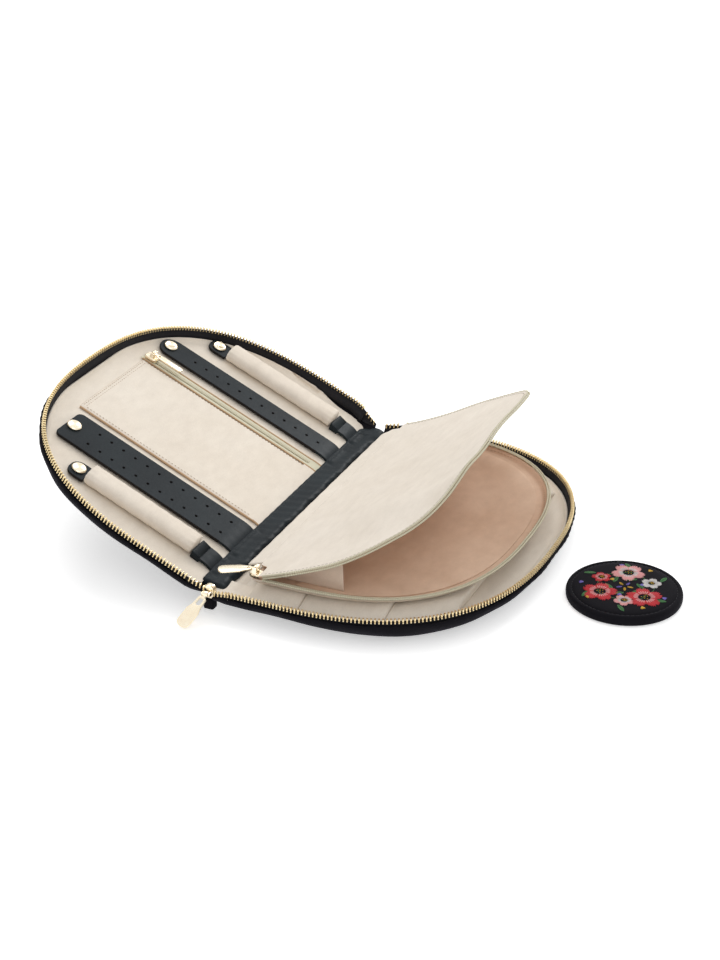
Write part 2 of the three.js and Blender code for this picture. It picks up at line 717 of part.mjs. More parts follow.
// Press stud caps and posts
function snapCap(u, y, z) {
  const profile = [
    new THREE.Vector2(0, 0), new THREE.Vector2(SNAP_RADIUS - 0.3, 0),
    new THREE.Vector2(SNAP_RADIUS, 0.35), new THREE.Vector2(SNAP_RADIUS - 0.5, SNAP_HEIGHT * 0.75),
    new THREE.Vector2(SNAP_RADIUS * 0.55, SNAP_HEIGHT), new THREE.Vector2(0, SNAP_HEIGHT),
  ];
  const g = new THREE.LatheGeometry(profile, 18);
  g.rotateX(Math.PI / 2);
  g.translate(u, y, z);
  return g;
}

function stud(u, y, z0, z1) {
  const g = new THREE.CylinderGeometry(STUD_RADIUS, STUD_RADIUS, z1 - z0, 14);
  g.rotateX(Math.PI / 2);
  g.translate(u, y, (z0 + z1) / 2);
  return g;
}

// Earring straps
const STUD_TOP = LINING_TOP + REST_GAP + 0.7;
const STRAP_BOTTOM = STUD_TOP + REST_GAP;
const STRAP_TOP = STRAP_BOTTOM + STRAP_THICKNESS;

function strapHoles(shape, rows) {
  const spacing = (HOLE_LAST - HOLE_FIRST) / (HOLE_COUNT - 1);
  for (const row of rows) {
    for (let i = 0; i < HOLE_COUNT; i += 1) {
      const corners = Array.from({ length: HOLE_SIDES }, (_, k) => new THREE.Vector2(
        HOLE_FIRST + i * spacing + HOLE_RADIUS * Math.cos((-k / HOLE_SIDES) * Math.PI * 2),
        row + HOLE_RADIUS * Math.sin((-k / HOLE_SIDES) * Math.PI * 2),
      ));
      shape.holes.push(new THREE.Path(corners));
    }
  }
}

function strap(strapSize, startRound, rows) {
  const shape = tabShape(STRAP_ROOT, strapSize.end, strapSize.width, startRound, strapSize.round);
  strapHoles(shape, rows);
  const g = slab(shape, STRAP_BOTTOM, STRAP_TOP, 0, 4);
  g.translate(0, strapSize.y, 0);
  return g;
}

for (const [name, size, startRound, rows] of [
  ['narrow', NARROW_STRAP, 3.5, [0]],
  ['wide', WIDE_STRAP, 2.5, [-HOLE_ROW_OFFSET, HOLE_ROW_OFFSET]],
]) {
  addToLid(`${name}_strap`, strap(size, startRound, rows), LEATHER);
  const snapAt = size.end - size.snapInset;
  addToLid(`${name}_strap_snap`, snapCap(snapAt, size.y, STRAP_TOP + REST_GAP), GOLD);
  addToLid(`${name}_strap_stud`, stud(snapAt, size.y, LINING_TOP + REST_GAP, STUD_TOP), GOLD);
}

// Ring rolls: stuffed suede with drawn-in ends, a leather anchor at the spine and a snap tab.
function ringRoll(y, u0, u1) {
  const rings = 9;
  const around = 14;
  const positions = [];
  const index = [];
  for (let i = 0; i <= rings; i += 1) {
    const t = i / rings;
    const end = Math.min(t, 1 - t) * rings;
    const swell = end < 0.5 ? 0.8 : end < 1.5 ? 0.96 : 1;
    for (let j = 0; j < around; j += 1) {
      const angle = (j / around) * Math.PI * 2;
      const c = Math.cos(angle);
      const s = Math.sin(angle);
      const py = Math.sign(c) * Math.pow(Math.abs(c), 0.8) * (ROLL_WIDTH / 2) * swell;
      const pz = Math.sign(s) * Math.pow(Math.abs(s), 0.8) * (ROLL_HEIGHT / 2) * swell;
      const base = LINING_TOP + REST_GAP + ROLL_HEIGHT / 2;
      positions.push(u0 + (u1 - u0) * t, y + py, base + pz);
    }
  }
  for (let i = 0; i < rings; i += 1) {
    for (let j = 0; j < around; j += 1) {
      const k = (j + 1) % around;
      const a = i * around + j;
      const b = i * around + k;
      index.push(a, b, b + around, a, b + around, a + around);
    }
  }
  const last = rings * around;
  for (let j = 1; j + 1 < around; j += 1) {
    index.push(0, j + 1, j, last, last + j, last + j + 1);
  }
  const g = new THREE.BufferGeometry();
  g.setAttribute('position', new THREE.Float32BufferAttribute(positions, 3));
  g.setIndex(index);
  return g;
}

for (const [name, size] of [['upper', UPPER_ROLL], ['lower', LOWER_ROLL]]) {
  const gap = REST_GAP;
  addToLid(`${name}_ring_roll`, ringRoll(size.y, ANCHOR_END + gap, size.end), SUEDE);
  const anchor = slab(tabShape(STRAP_ROOT, ANCHOR_END, TAB_WIDTH, 1.5, 1), LINING_TOP + gap, LINING_TOP + 5.5, 0.6, 2);
  anchor.translate(0, size.y, 0);
  addToLid(`${name}_roll_anchor`, anchor, LEATHER);
  const tabEnd = size.end + size.tabLength;
  const snapAt = size.end + size.snapOffset;
  const tab = slab(tabShape(size.end + gap, tabEnd, TAB_WIDTH, 1, 6), STRAP_BOTTOM, STRAP_TOP, 0, 4);
  tab.translate(0, size.y, 0);
  addToLid(`${name}_roll_tab`, tab, LEATHER);
  addToLid(`${name}_roll_snap`, snapCap(snapAt, size.y, STRAP_TOP + gap), GOLD);
  addToLid(`${name}_roll_stud`, stud(snapAt, size.y, LINING_TOP + gap, STUD_TOP), GOLD);
}

// Zip pocket on the lid
const panelMid = (POCKET_LOW + POCKET_HIGH) / 2;
const panelShape = tabShape(STRAP_ROOT, POCKET_END, POCKET_HIGH - POCKET_LOW, 1, 3);
const panel = slab(panelShape, LINING_TOP + REST_GAP, LINING_TOP + REST_GAP + 1.5, 0.5, 3);
panel.translate(0, panelMid, 0);
addToLid('pocket_panel', panel, SUEDE_SHADE);
const stripBottom = LINING_TOP + REST_GAP;
const stripTop = stripBottom + 0.8;
const stripHalf = TAPE_STRIP_WIDTH / 2;
addToLid('pocket_zip_tape',
  box(STRAP_ROOT, POCKET_ZIP_END, POCKET_ZIP_Y - stripHalf, POCKET_ZIP_Y + stripHalf, stripBottom, stripTop), COIL);
const coilBottom = stripTop + 0.1;
const coilTop = coilBottom + COIL_HEIGHT;
addToLid('pocket_zip_coil',
  box(STRAP_ROOT + 1, POCKET_ZIP_END - 1, POCKET_ZIP_Y - COIL_WIDTH / 2, POCKET_ZIP_Y + COIL_WIDTH / 2,
    coilBottom, coilTop), COIL);
const POCKET_BAR_HEIGHT = 2.1;
const pocketSliderHeight = coilTop + SLIDE_GAP + 1.3 - (stripTop + SLIDE_GAP);
const pocketBarZ = stripTop + SLIDE_GAP + pocketSliderHeight + POCKET_BAR_HEIGHT;
const POCKET_SLIDER_LENGTH = 9;
const channel = box(-POCKET_SLIDER_LENGTH, POCKET_SLIDER_LENGTH, -COIL_WIDTH / 2 - SLIDE_GAP,
  COIL_WIDTH / 2 + SLIDE_GAP, -pocketBarZ, coilTop + SLIDE_GAP - pocketBarZ);
const pocketSlider = cut(slider(POCKET_SLIDER_LENGTH, 6.6, pocketSliderHeight, POCKET_BAR_HEIGHT), channel);
pocketSlider.translate(POCKET_SLIDER_U, POCKET_ZIP_Y, pocketBarZ);
addToLid('pocket_slider', pocketSlider, GOLD);
const pocketPull = pullTab(SMALL_PULL_LENGTH, POCKET_PULL_WIDTH, 0, SMALL_PULL_ARM, SMALL_PULL_FORK);
pocketPull.rotateZ(Math.PI);
pocketPull.translate(POCKET_SLIDER_U, POCKET_ZIP_Y, pocketBarZ);
addToLid('pocket_pull', pocketPull, GOLD);

// Slip pockets of the tray: a soft stack that the page lies on, stepped towards the free end.
POCKET_MOUTHS.forEach((mouth, i) => {
  const start = i === 0 ? PAGE_ROOT + 1 : POCKET_MOUTHS[i - 1] + REST_GAP;
  const height = (POCKET_STACK_TOP - LINING_TOP - REST_GAP);
  const rootZ = LINING_TOP + REST_GAP + height * 0.72;
  const reach = i === POCKET_MOUTHS.length - 1 ? LAST_POCKET_SIDE : POCKET_SIDE;
  const shape = new THREE.Shape();
  shape.moveTo(start, LINING_TOP + REST_GAP);
  shape.lineTo(mouth - 0.8, LINING_TOP + REST_GAP);
  shape.lineTo(mouth, LINING_TOP + 1.5);
  shape.lineTo(mouth, POCKET_STACK_TOP - 0.6);
  shape.lineTo(mouth - 0.8, POCKET_STACK_TOP);
  shape.lineTo(start + 2, rootZ + 0.6);
  shape.lineTo(start, rootZ);
  const g = new THREE.ExtrudeGeometry(shape, { depth: 2 * reach, bevelEnabled: false });
  g.rotateX(Math.PI / 2);
  g.translate(0, reach, 0);
  addToTray(`slip_pocket_${i + 1}`, g, SUEDE_SHADE);
});

// Page: a shallow zipped pouch, its lower half a dish with a coil on its rim.
const dishOuter = outlinePile(
  [[-PAGE_INSET - 2.4, PAGE_BOTTOM], [-PAGE_INSET - 0.5, PAGE_BOTTOM + 1.2], [-PAGE_INSET, PAGE_RIM]], PAGE_ROOT,
);
const dishInner = outlinePile(
  [[-PAGE_INSET - 3.6, PAGE_BOTTOM + PAGE_SHEET], [-PAGE_INSET - 1.3, PAGE_RIM + 1]], PAGE_ROOT + 1.3,
);
addToTray('page_lower_sheet', cut(dishOuter, dishInner), SUEDE);
const rimOuter = outlinePile([[-PAGE_INSET + 0.2, PAGE_RIM + 0.2], [-PAGE_INSET + 0.2, PAGE_RIM + 1.5]], PAGE_ROOT + 8);
const rimInner = outlinePile([[-PAGE_INSET - 2.4, PAGE_RIM - 1], [-PAGE_INSET - 2.4, PAGE_RIM + 3]], PAGE_ROOT);
addToTray('page_lower_coil', cut(rimOuter, rimInner), COIL);
const innerPouch = outlinePile([
  [-PAGE_INSET - INNER_POCKET_INSET, PAGE_BOTTOM + PAGE_SHEET + REST_GAP],
  [-PAGE_INSET - INNER_POCKET_INSET, PAGE_BOTTOM + PAGE_SHEET + 1.4],
], INNER_POCKET_START, INNER_POCKET_END);
addToTray('page_inner_pocket', innerPouch, POUCH_CLOTH);
const hem = box(
  PAGE_ROOT - REST_GAP - HEM_THICKNESS, PAGE_ROOT - REST_GAP, HEM_FRONT, HEM_BACK, HEM_LOW, HEM_HIGH,
);
addToTray('page_hem', hem, SUEDE);

// Slider of the page's zip, at the front end of its rim.
const PAGE_BAR_HEIGHT = 2.8;
const pageSliderBottom = PAGE_RIM + 0.2;
const pageSliderThickness = 2.6;
const pagePivot = new THREE.Vector3(
  PAGE_SLIDER_U, PAGE_SLIDER_Y, pageSliderBottom + pageSliderThickness + PAGE_BAR_HEIGHT,
);
const pageSlider = slider(7.6, 6.4, pageSliderThickness, PAGE_BAR_HEIGHT);
pageSlider.translate(pagePivot.x, pagePivot.y, pagePivot.z);
addToTray('page_slider', pageSlider, GOLD);
const pagePull = pullTab(SMALL_PULL_LENGTH, SMALL_PULL_WIDTH, -PAGE_PULL_SKEW, SMALL_PULL_ARM, SMALL_PULL_FORK);
pagePull.rotateY(Math.PI - 2 * DEG);
pagePull.translate(pagePivot.x, pagePivot.y, pagePivot.z);
addToTray('page_pull', pagePull, GOLD);

// Flap of the page, standing open: it rises more steeply towards its free edge and twists a little.
const FLAP_WIDE = PAGE_HALF_LENGTH;
const FLAP_STRAIGHT = CHAIN_REACH - CORNER_DEPTH;
const FLAP_DEEP = CORNER_DEPTH - PAGE_INSET;

function flapPoint(u, y, w) {
  const v = u - FLAP_ROOT_U;
  const front = THREE.MathUtils.smoothstep(-y, FLAP_TWIST_START, FLAP_TWIST_FULL)
    * THREE.MathUtils.smoothstep(v, 0, FLAP_TWIST_DEPTH);
  const angle = Math.asin(FLAP_RISE + v / FLAP_CURL_LENGTH - FLAP_TWIST * front);
  const slope = Math.asin(FLAP_RISE + (2 * v) / FLAP_CURL_LENGTH - FLAP_TWIST * front);
  return [
    FLAP_ROOT_U + v * Math.cos(angle) - w * Math.sin(slope), y,
    FLAP_ROOT_Z + v * Math.sin(angle) + w * Math.cos(slope),
  ];
}

function flapReach(y, inset) {
  const share = Math.min(1, Math.abs(y) / (FLAP_WIDE - inset));
  return FLAP_STRAIGHT + (FLAP_DEEP - inset) * Math.pow(1 - Math.pow(share, CORNER_POWER), 1 / CORNER_POWER);
}

function sheetFromGrid(columns, rows, at) {
  const positions = [];
  const index = [];
  const id = (i, j, k) => (i * (rows + 1) + j) * 2 + k;
  for (let i = 0; i <= columns; i += 1) {
    for (let j = 0; j <= rows; j += 1) {
      positions.push(...at(i / columns, j / rows, 0), ...at(i / columns, j / rows, 1));
    }
  }
  const quad = (a, b, c, d) => index.push(a, b, c, a, c, d);
  for (let i = 0; i < columns; i += 1) {
    for (let j = 0; j < rows; j += 1) {
      quad(id(i, j, 0), id(i + 1, j, 0), id(i + 1, j + 1, 0), id(i, j + 1, 0));
      quad(id(i, j, 1), id(i, j + 1, 1), id(i + 1, j + 1, 1), id(i + 1, j, 1));
    }
    quad(id(i, 0, 0), id(i, 0, 1), id(i + 1, 0, 1), id(i + 1, 0, 0));
    quad(id(i, rows, 0), id(i + 1, rows, 0), id(i + 1, rows, 1), id(i, rows, 1));
  }
  for (let j = 0; j < rows; j += 1) {
    quad(id(0, j, 0), id(0, j + 1, 0), id(0, j + 1, 1), id(0, j, 1));
    quad(id(columns, j, 0), id(columns, j, 1), id(columns, j + 1, 1), id(columns, j + 1, 0));
  }
  const g = new THREE.BufferGeometry();
  g.setAttribute('position', new THREE.Float32BufferAttribute(positions, 3));
  g.setIndex(index);
  return g;
}

// Near the front the flap starts behind the slider.
function flapStart(y) {
  const near = THREE.MathUtils.smoothstep(-y, PAGE_SLIDER_CLEAR - FLAP_FRONT_RUN, PAGE_SLIDER_CLEAR);
  return FLAP_START + near * FLAP_FRONT_STEP;
}

const flap = sheetFromGrid(20, 8, (a, b, k) => {
  const y = FLAP_WIDE * Math.sin((a - 0.5) * Math.PI) * 0.9995;
  const start = flapStart(y);
  const u = start + (flapReach(y, 0) - start) * b;
  return flapPoint(u, y, k * FLAP_THICKNESS);
});
addToTray('page_flap', flap, SUEDE);
const flapRoot = sheetFromGrid(6, 2, (a, b, k) => {
  const y = THREE.MathUtils.lerp(FLAP_ROOT_INSET - PAGE_SLIDER_CLEAR, HEM_BACK - FLAP_ROOT_INSET, a);
  return flapPoint(FLAP_ROOT_U + (FLAP_START - REST_GAP - FLAP_ROOT_U) * b, y, k * FLAP_THICKNESS);
});
addToTray('page_flap_root', flapRoot, SUEDE);

const COIL_INSET = 0.6;
const COIL_GAP = 0.7;
const flapCoil = sheetFromGrid(40, 1, (a, b, k) => {
  const inset = COIL_INSET + (1 - b) * 2.6;
  const wide = FLAP_WIDE - inset;
  const turn = (a - 0.5) * 2;
  let y;
  let u;
  const share = 0.12;
  if (Math.abs(turn) > 1 - share) {
    y = Math.sign(turn) * wide;
    const run = FLAP_STRAIGHT - FLAP_START - FLAP_COIL_START;
    u = FLAP_STRAIGHT - run * ((Math.abs(turn) - 1 + share) / share);
  } else {
    const angle = (turn / (1 - share)) * (Math.PI / 2);
    y = wide * Math.sign(angle) * Math.pow(Math.abs(Math.sin(angle)), 2 / CORNER_POWER);
    u = FLAP_STRAIGHT + (FLAP_DEEP - inset) * Math.pow(Math.abs(Math.cos(angle)), 2 / CORNER_POWER);
  }
  return flapPoint(u, y, -COIL_GAP - (1 - k) * COIL_HEIGHT);
});
addToTray('page_flap_coil', flapCoil, COIL);

// Round mirror in a padded velvet case; its glass is set into the underside.
const mirrorEdge = MIRROR_RADIUS;
const mirrorSeam = mirrorEdge - MIRROR_SEAM_INSET;
const glassSeat = 1.2;
const glassInset = 5;
const mirrorProfile = [
  [0, glassSeat], [mirrorEdge - glassInset, glassSeat], [mirrorEdge - glassInset, 0],
  [mirrorEdge - 1.3, 0], [mirrorEdge - 0.2, 1.3], [mirrorEdge, 3], [mirrorEdge - 0.2, MIRROR_THICKNESS - 2.4],
  [mirrorSeam + 1.2, MIRROR_THICKNESS - 1], [mirrorSeam, MIRROR_THICKNESS - 1.1],
  [mirrorSeam - 2.6, MIRROR_THICKNESS - 0.4], [mirrorEdge * 0.5, MIRROR_THICKNESS], [0, MIRROR_THICKNESS],
].map(([r, z]) => new THREE.Vector2(r, z));
const mirrorCase = new THREE.LatheGeometry(mirrorProfile, 32);
mirrorCase.rotateX(Math.PI / 2);
mirrorCase.translate(MIRROR_X, MIRROR_Y, 0);
addMesh(part, 'mirror_case', mirrorCase, VELVET);
const glassRadius = mirrorEdge - glassInset - 0.4;
const glass = new THREE.CylinderGeometry(glassRadius, glassRadius, glassSeat / 2, 28);
glass.rotateX(Math.PI / 2);
glass.translate(MIRROR_X, MIRROR_Y, glassSeat / 2);
addMesh(part, 'mirror_glass', glass, GLASS);

export default part;
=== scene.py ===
import logging
import math
from collections.abc import Callable, Sequence
from dataclasses import dataclass, field
from enum import Enum

import bmesh
import bpy
import numpy as np
from mathutils import Matrix, Vector


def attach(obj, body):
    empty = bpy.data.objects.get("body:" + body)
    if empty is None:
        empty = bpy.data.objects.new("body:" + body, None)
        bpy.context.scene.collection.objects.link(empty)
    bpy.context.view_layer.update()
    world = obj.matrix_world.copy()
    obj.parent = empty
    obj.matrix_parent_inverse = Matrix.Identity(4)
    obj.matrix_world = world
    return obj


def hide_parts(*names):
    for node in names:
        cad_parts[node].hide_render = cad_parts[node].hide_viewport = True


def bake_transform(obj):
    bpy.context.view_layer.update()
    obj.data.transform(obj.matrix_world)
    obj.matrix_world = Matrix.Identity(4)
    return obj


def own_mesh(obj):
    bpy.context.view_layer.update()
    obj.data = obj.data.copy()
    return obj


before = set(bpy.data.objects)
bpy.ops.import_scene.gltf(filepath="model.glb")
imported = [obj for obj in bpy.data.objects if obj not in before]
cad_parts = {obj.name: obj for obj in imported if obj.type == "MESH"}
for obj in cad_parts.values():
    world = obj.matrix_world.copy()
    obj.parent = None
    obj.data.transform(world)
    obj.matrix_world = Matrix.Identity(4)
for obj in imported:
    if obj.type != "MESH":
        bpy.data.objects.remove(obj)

LOG = logging.getLogger("jewelry_organizer")
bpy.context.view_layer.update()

FOLD_X = -77.5
REST_FOLD = math.radians(12.25)
FOLD_HEIGHT = 3.0
SPINE_WIDTH = 30.0
LINING_TOP = 9.2
TOOTH_PITCH = 2.24
TOOTH_TOP = 18.8
TOOTH_BLOCKS = ((-2.9, -1.9, 2.3, 0.9), (-2.1, -1.5, 1.2, 0.7), (-1.75, 0.0, 2.0, 1.0))
UP = Vector((0, 0, 1))

Pair = tuple[float, float]
Point = tuple[float, float, float]
Colour = tuple[float, float, float]
Place = Callable[[float, float], Point]
Mesh = bmesh.types.BMesh
Item = bpy.types.Object
Material = bpy.types.Material
Socket = bpy.types.NodeSocket


def linear(red: int, green: int, blue: int) -> Colour:
    """Turn a colour from 0 to 255 into linear light.

    Args:
        red: Red, 0 to 255.
        green: Green, 0 to 255.
        blue: Blue, 0 to 255.

    Returns:
        The linear colour.
    """
    return tuple(
        value / 255 / 12.92 if value <= 10 else ((value / 255 + 0.055) / 1.055) ** 2.4
        for value in (red, green, blue)
    )


def smooth(value: float, low: float, high: float) -> float:
    """Rise smoothly from 0 at low to 1 at high."""
    share = min(1.0, max(0.0, (value - low) / (high - low)))
    return share * share * (3 - 2 * share)


class Side(Enum):
    """The part of the case that a piece's own coordinates belong to."""

    TRAY = "tray"
    LID = "lid"
    SPINE = "spine"
    ROW = "row"

    def matrix(self) -> Matrix:
        """Give the matrix from this part's own millimetres to the row frame in metres.

        Returns:
            The matrix. Its determinant is negative where the part is a mirror image.
        """
        metres = Matrix.Scale(0.001, 4)
        if self is Side.ROW:
            return metres
        if self is Side.TRAY:
            return metres @ Matrix.Translation((FOLD_X, 0, 0))
        fold = Matrix.Translation((FOLD_X, 0, FOLD_HEIGHT)) @ Matrix.Rotation(REST_FOLD, 4, "Y")
        flip = Matrix.Diagonal((-1, 1, 1, 1))
        if self is Side.SPINE:
            return metres @ fold @ flip
        second = Matrix.Translation((-SPINE_WIDTH, 0, 0)) @ Matrix.Rotation(REST_FOLD, 4, "Y")
        return metres @ fold @ second @ flip @ Matrix.Translation((0, 0, -FOLD_HEIGHT))


# Materials


class ShaderBoard:
    """Adds nodes to one material and wires them up."""

    def __init__(self, name: str) -> None:
        """Start an empty material with its shader and output.

        Args:
            name: The material's name.
        """
        self.material = bpy.data.materials.new(name)
        self.material.use_nodes = True
        self.tree = self.material.node_tree
        self.tree.nodes.clear()
        self.shader = self.tree.nodes.new("ShaderNodeBsdfPrincipled")
        output = self.tree.nodes.new("ShaderNodeOutputMaterial")
        self.wire(self.shader.outputs["BSDF"], output.inputs["Surface"])
        self.coordinates = self.tree.nodes.new("ShaderNodeTexCoord")

    def wire(self, source: Socket, target: Socket) -> None:
        """Join an output to an input."""
        self.tree.links.new(source, target)

    def set(self, **values: float | Colour) -> None:
        """Set the shader's own sockets, with underscores for the spaces in their names.

        Args:
            values: Value of each socket.
        """
        for name, value in values.items():
            socket = self.shader.inputs[name.replace("_", " ")]
            socket.default_value = (*value, 1) if isinstance(value, tuple) else value

    def add(self, kind: str, inputs: dict[str | int, Socket | float | Sequence[float]]) -> bpy.types.Node:
        """Add a node, wire the inputs that are given as sockets and set the others.

        Args:
            kind: The node's type without its first word.
            inputs: Value of each input.

        Returns:
            The node.
        """
        node = self.tree.nodes.new(f"ShaderNode{kind}")
        for name, value in inputs.items():
            if isinstance(value, Socket):
                self.wire(value, node.inputs[name])
            else:
                node.inputs[name].default_value = value
        return node

    def place(self, stretch: Sequence[float] = (1, 1, 1), turn: float = 0.0, cloth: bool = False) -> Socket:
        """Give texture coordinates, stretched and turned.

        Args:
            stretch: Factor on each axis.
            turn: Turn about the third axis, in radians.
            cloth: Whether to follow the piece's own map.

        Returns:
            The vector output.
        """
        source = self.coordinates.outputs["UV" if cloth else "Object"]
        node = self.add("Mapping", {"Vector": source, "Scale": stretch, "Rotation": (0, 0, turn)})
        return node.outputs["Vector"]

    def noise(self, where: Socket, scale: float, detail: float = 3.0, rough: float = 0.5) -> Socket:
        """Give a noise factor."""
        inputs = {"Vector": where, "Scale": scale, "Detail": detail, "Roughness": rough}
        return self.add("TexNoise", inputs).outputs["Fac"]

    def cells(self, where: Socket, scale: float) -> Socket:
        """Give the distance output of a cell texture."""
        return self.add("TexVoronoi", {"Vector": where, "Scale": scale}).outputs["Distance"]

    def waves(self, where: Socket, scale: float, direction: str, wobble: float = 0.0) -> Socket:
        """Give the factor of bands along an axis.

        Args:
            where: Coordinates.
            scale: Bands per metre, or per UV unit.
            direction: The axis.
            wobble: How much the bands bend.

        Returns:
            The factor output.
        """
        node = self.add("TexWave", {"Vector": where, "Scale": scale, "Distortion": wobble})
        node.bands_direction = direction
        return node.outputs["Fac"]

    def ramp(self, factor: Socket, stops: Sequence[tuple[float, Colour]]) -> Socket:
        """Turn a factor into a colour.

        Args:
            factor: The factor.
            stops: Place and colour of each stop.

        Returns:
            The colour output.
        """
        node = self.add("ValToRGB", {"Fac": factor})
        elements = node.color_ramp.elements
        while len(elements) < len(stops):
            elements.new(0.5)
        for element, (position, colour) in zip(elements, stops):
            element.position = position
            element.color = (*colour, 1)
        return node.outputs["Color"]

    def mix(self, factor: float, first: Socket, second: Socket, blend: str = "MIX") -> Socket:
        """Mix two colours.

        Args:
            factor: Share of the second colour.
            first: The first colour.
            second: The second colour.
            blend: Name of the blend.

        Returns:
            The colour output.
        """
        node = self.tree.nodes.new("ShaderNodeMix")
        node.data_type = "RGBA"
        node.blend_type = blend
        node.inputs[0].default_value = factor
        self.wire(first, node.inputs[6])
        self.wire(second, node.inputs[7])
        return node.outputs[2]

    def span(self, factor: Socket, low: float, high: float) -> Socket:
        """Map a factor from 0 and 1 to low and high."""
        return self.add("MapRange", {"Value": factor, "To Min": low, "To Max": high}).outputs["Result"]

    def colour(self, socket: Socket) -> None:
        """Wire the base colour."""
        self.wire(socket, self.shader.inputs["Base Color"])

    def rough(self, socket: Socket) -> None:
        """Wire the roughness."""
        self.wire(socket, self.shader.inputs["Roughness"])

    def bump(self, heights: Sequence[tuple[Socket, float, float]]) -> None:
        """Stack bumps onto the shader's normal.

        Args:
            heights: Height socket, strength and depth in metres of each.
        """
        stacked: dict[str, Socket] = {}
        for height, strength, depth in heights:
            node = self.add("Bump", {"Strength": strength, "Distance": depth, "Height": height, **stacked})
            stacked = {"Normal": node.outputs["Normal"]}
        self.wire(stacked["Normal"], self.shader.inputs["Normal"])


@dataclass(frozen=True)
class Finish:
    """A surface finish: its name, its main colour and its second colour."""

    name: str
    colour: Colour
    shade: Colour

    def build(self) -> Material:
        """Make the material.

        Returns:
            The material.
        """
        board = ShaderBoard(self.name)
        self.dress(board)
        return board.material

    def dress(self, board: ShaderBoard) -> None:
        """Add the nodes of this finish to the board."""
        raise NotImplementedError


@dataclass(frozen=True)
class Suede(Finish):
    """Matt brushed cloth with a soft nap and faint pressed patches."""

    patches: float = 0.55
    nap: float = 0.5

    def dress(self, board: ShaderBoard) -> None:
        """Mottle the colour in two sizes and raise a short nap.

        Args:
            board: The board of the new material.
        """
        where = board.place()
        broad = board.noise(where, 26, 4, 0.6)
        brushed = board.noise(board.place((1, 0.45, 1), 0.5), 190, 3, 0.6)
        fine = board.noise(where, 1500, 2, 0.6)
        base = board.ramp(
            board.span(broad, 0.5 - self.patches, 0.5 + self.patches),
            [(0.25, self.shade), (0.75, self.colour)]
        )
        brushed_tone = board.ramp(brushed, [(0.3, (0.93, 0.925, 0.92)), (0.7, (1, 1, 1))])
        grain = board.ramp(fine, [(0.3, (0.9, 0.895, 0.89)), (0.7, (1, 1, 1))])
        toned = board.mix(1.0, base, brushed_tone, "MULTIPLY")
        board.colour(board.mix(0.6, toned, grain, "MULTIPLY"))
        board.rough(board.span(broad, 0.88, 0.98))
        board.bump([(brushed, 0.25 * self.nap, 0.0005), (fine, self.nap, 0.00012)])
        board.set(Specular_IOR_Level=0.25, Sheen_Weight=0.18, Sheen_Roughness=0.55, Sheen_Tint=self.colour)


@dataclass(frozen=True)
class Velvet(Finish):
    """Deep short-pile velvet whose pile lies differently in patches."""

    def dress(self, board: ShaderBoard) -> None:
        """Vary the pile's tone and raise it finely.

        Args:
            board: The board of the new material.
        """
        where = board.place()
        lay = board.noise(board.place((1, 1, 1.6)), 42, 4, 0.62)
        pile = board.noise(where, 2400, 2, 0.7)
        board.colour(board.mix(0.5, board.ramp(lay, [(0.32, self.shade), (0.72, self.colour)]),
                               board.ramp(pile, [(0.3, (0.45, 0.45, 0.5)), (0.75, (1, 1, 1))]), "MULTIPLY"))
        board.rough(board.span(lay, 0.8, 0.95))
        board.bump([(lay, 0.2, 0.0006), (pile, 0.7, 0.00018)])
        board.set(
            Specular_IOR_Level=0.12, Sheen_Weight=0.12, Sheen_Roughness=0.32, Sheen_Tint=(0.36, 0.34, 0.46)
        )


@dataclass(frozen=True)
class Woven(Finish):
    """Woven zip tape with ribs across its own length."""

    ribs: float = 1.0

    def dress(self, board: ShaderBoard) -> None:
        """Weave two sets of threads along the piece's own map.

        Args:
            board: The board of the new material.
        """
        cloth = board.place(cloth=True)
        along = board.waves(cloth, 520 * self.ribs, "X", 0.4)
        across = board.waves(cloth, 420 * self.ribs, "Y", 0.6)
        patch = board.noise(board.place(), 90, 3)
        weave = board.mix(0.5, along, across)
        tone = board.ramp(weave, [(0.2, self.shade), (0.7, self.colour)])
        board.colour(board.mix(0.35, tone, board.ramp(patch, [(0.3, self.shade), (0.7, self.colour)])))
        board.rough(board.span(along, 0.7, 0.9))
        board.bump([(weave, 0.5, 0.00012)])
        board.set(Specular_IOR_Level=0.3, Sheen_Weight=0.1, Sheen_Roughness=0.5, Sheen_Tint=self.colour)


@dataclass(frozen=True)
class Leather(Finish):
    """Soft slate leather with a fine pebble grain."""

    gloss: float = 0.47

    def dress(self, board: ShaderBoard) -> None:
        """Grain the surface and vary its tone and gloss.

        Args:
            board: The board of the new material.
        """
        where = board.place()
        pebbles = board.cells(where, 1250)
        creases = board.noise(where, 360, 5, 0.65)
        cloud = board.noise(where, 34, 4, 0.55)
        base = board.ramp(cloud, [(0.3, self.shade), (0.7, self.colour)])
        # Darker towards the borders of the pebbles.
        pebble_tone = board.ramp(pebbles, [(0.05, (1, 1, 1)), (0.6, (0.86, 0.87, 0.88))])
        board.colour(board.mix(1.0, base, pebble_tone, "MULTIPLY"))
        board.rough(board.span(creases, self.gloss - 0.08, self.gloss + 0.12))
        board.bump([(creases, 0.22, 0.00025), (pebbles, 0.32, 0.00012)])
        board.set(Specular_IOR_Level=0.1, Coat_Weight=0.08, Coat_Roughness=0.28)


@dataclass(frozen=True)
class Metal(Finish):
    """Pale gold plate, polished, with the faint marks of use."""

    gloss: float = 0.2

    def dress(self, board: ShaderBoard) -> None:
        """Vary tone and gloss, and scratch it finely.

        Args:
            board: The board of the new material.
        """
        where = board.place()
        cloud = board.noise(where, 240, 4, 0.6)
        scratches = board.noise(board.place((1, 14, 3), 0.7), 700, 3, 0.7)
        board.colour(board.ramp(cloud, [(0.3, self.shade), (0.7, self.colour)]))
        board.rough(board.span(scratches, self.gloss - 0.05, self.gloss + 0.12))
        board.bump([(scratches, 0.06, 0.00005)])
        board.set(Metallic=1.0, Specular_IOR_Level=0.5)


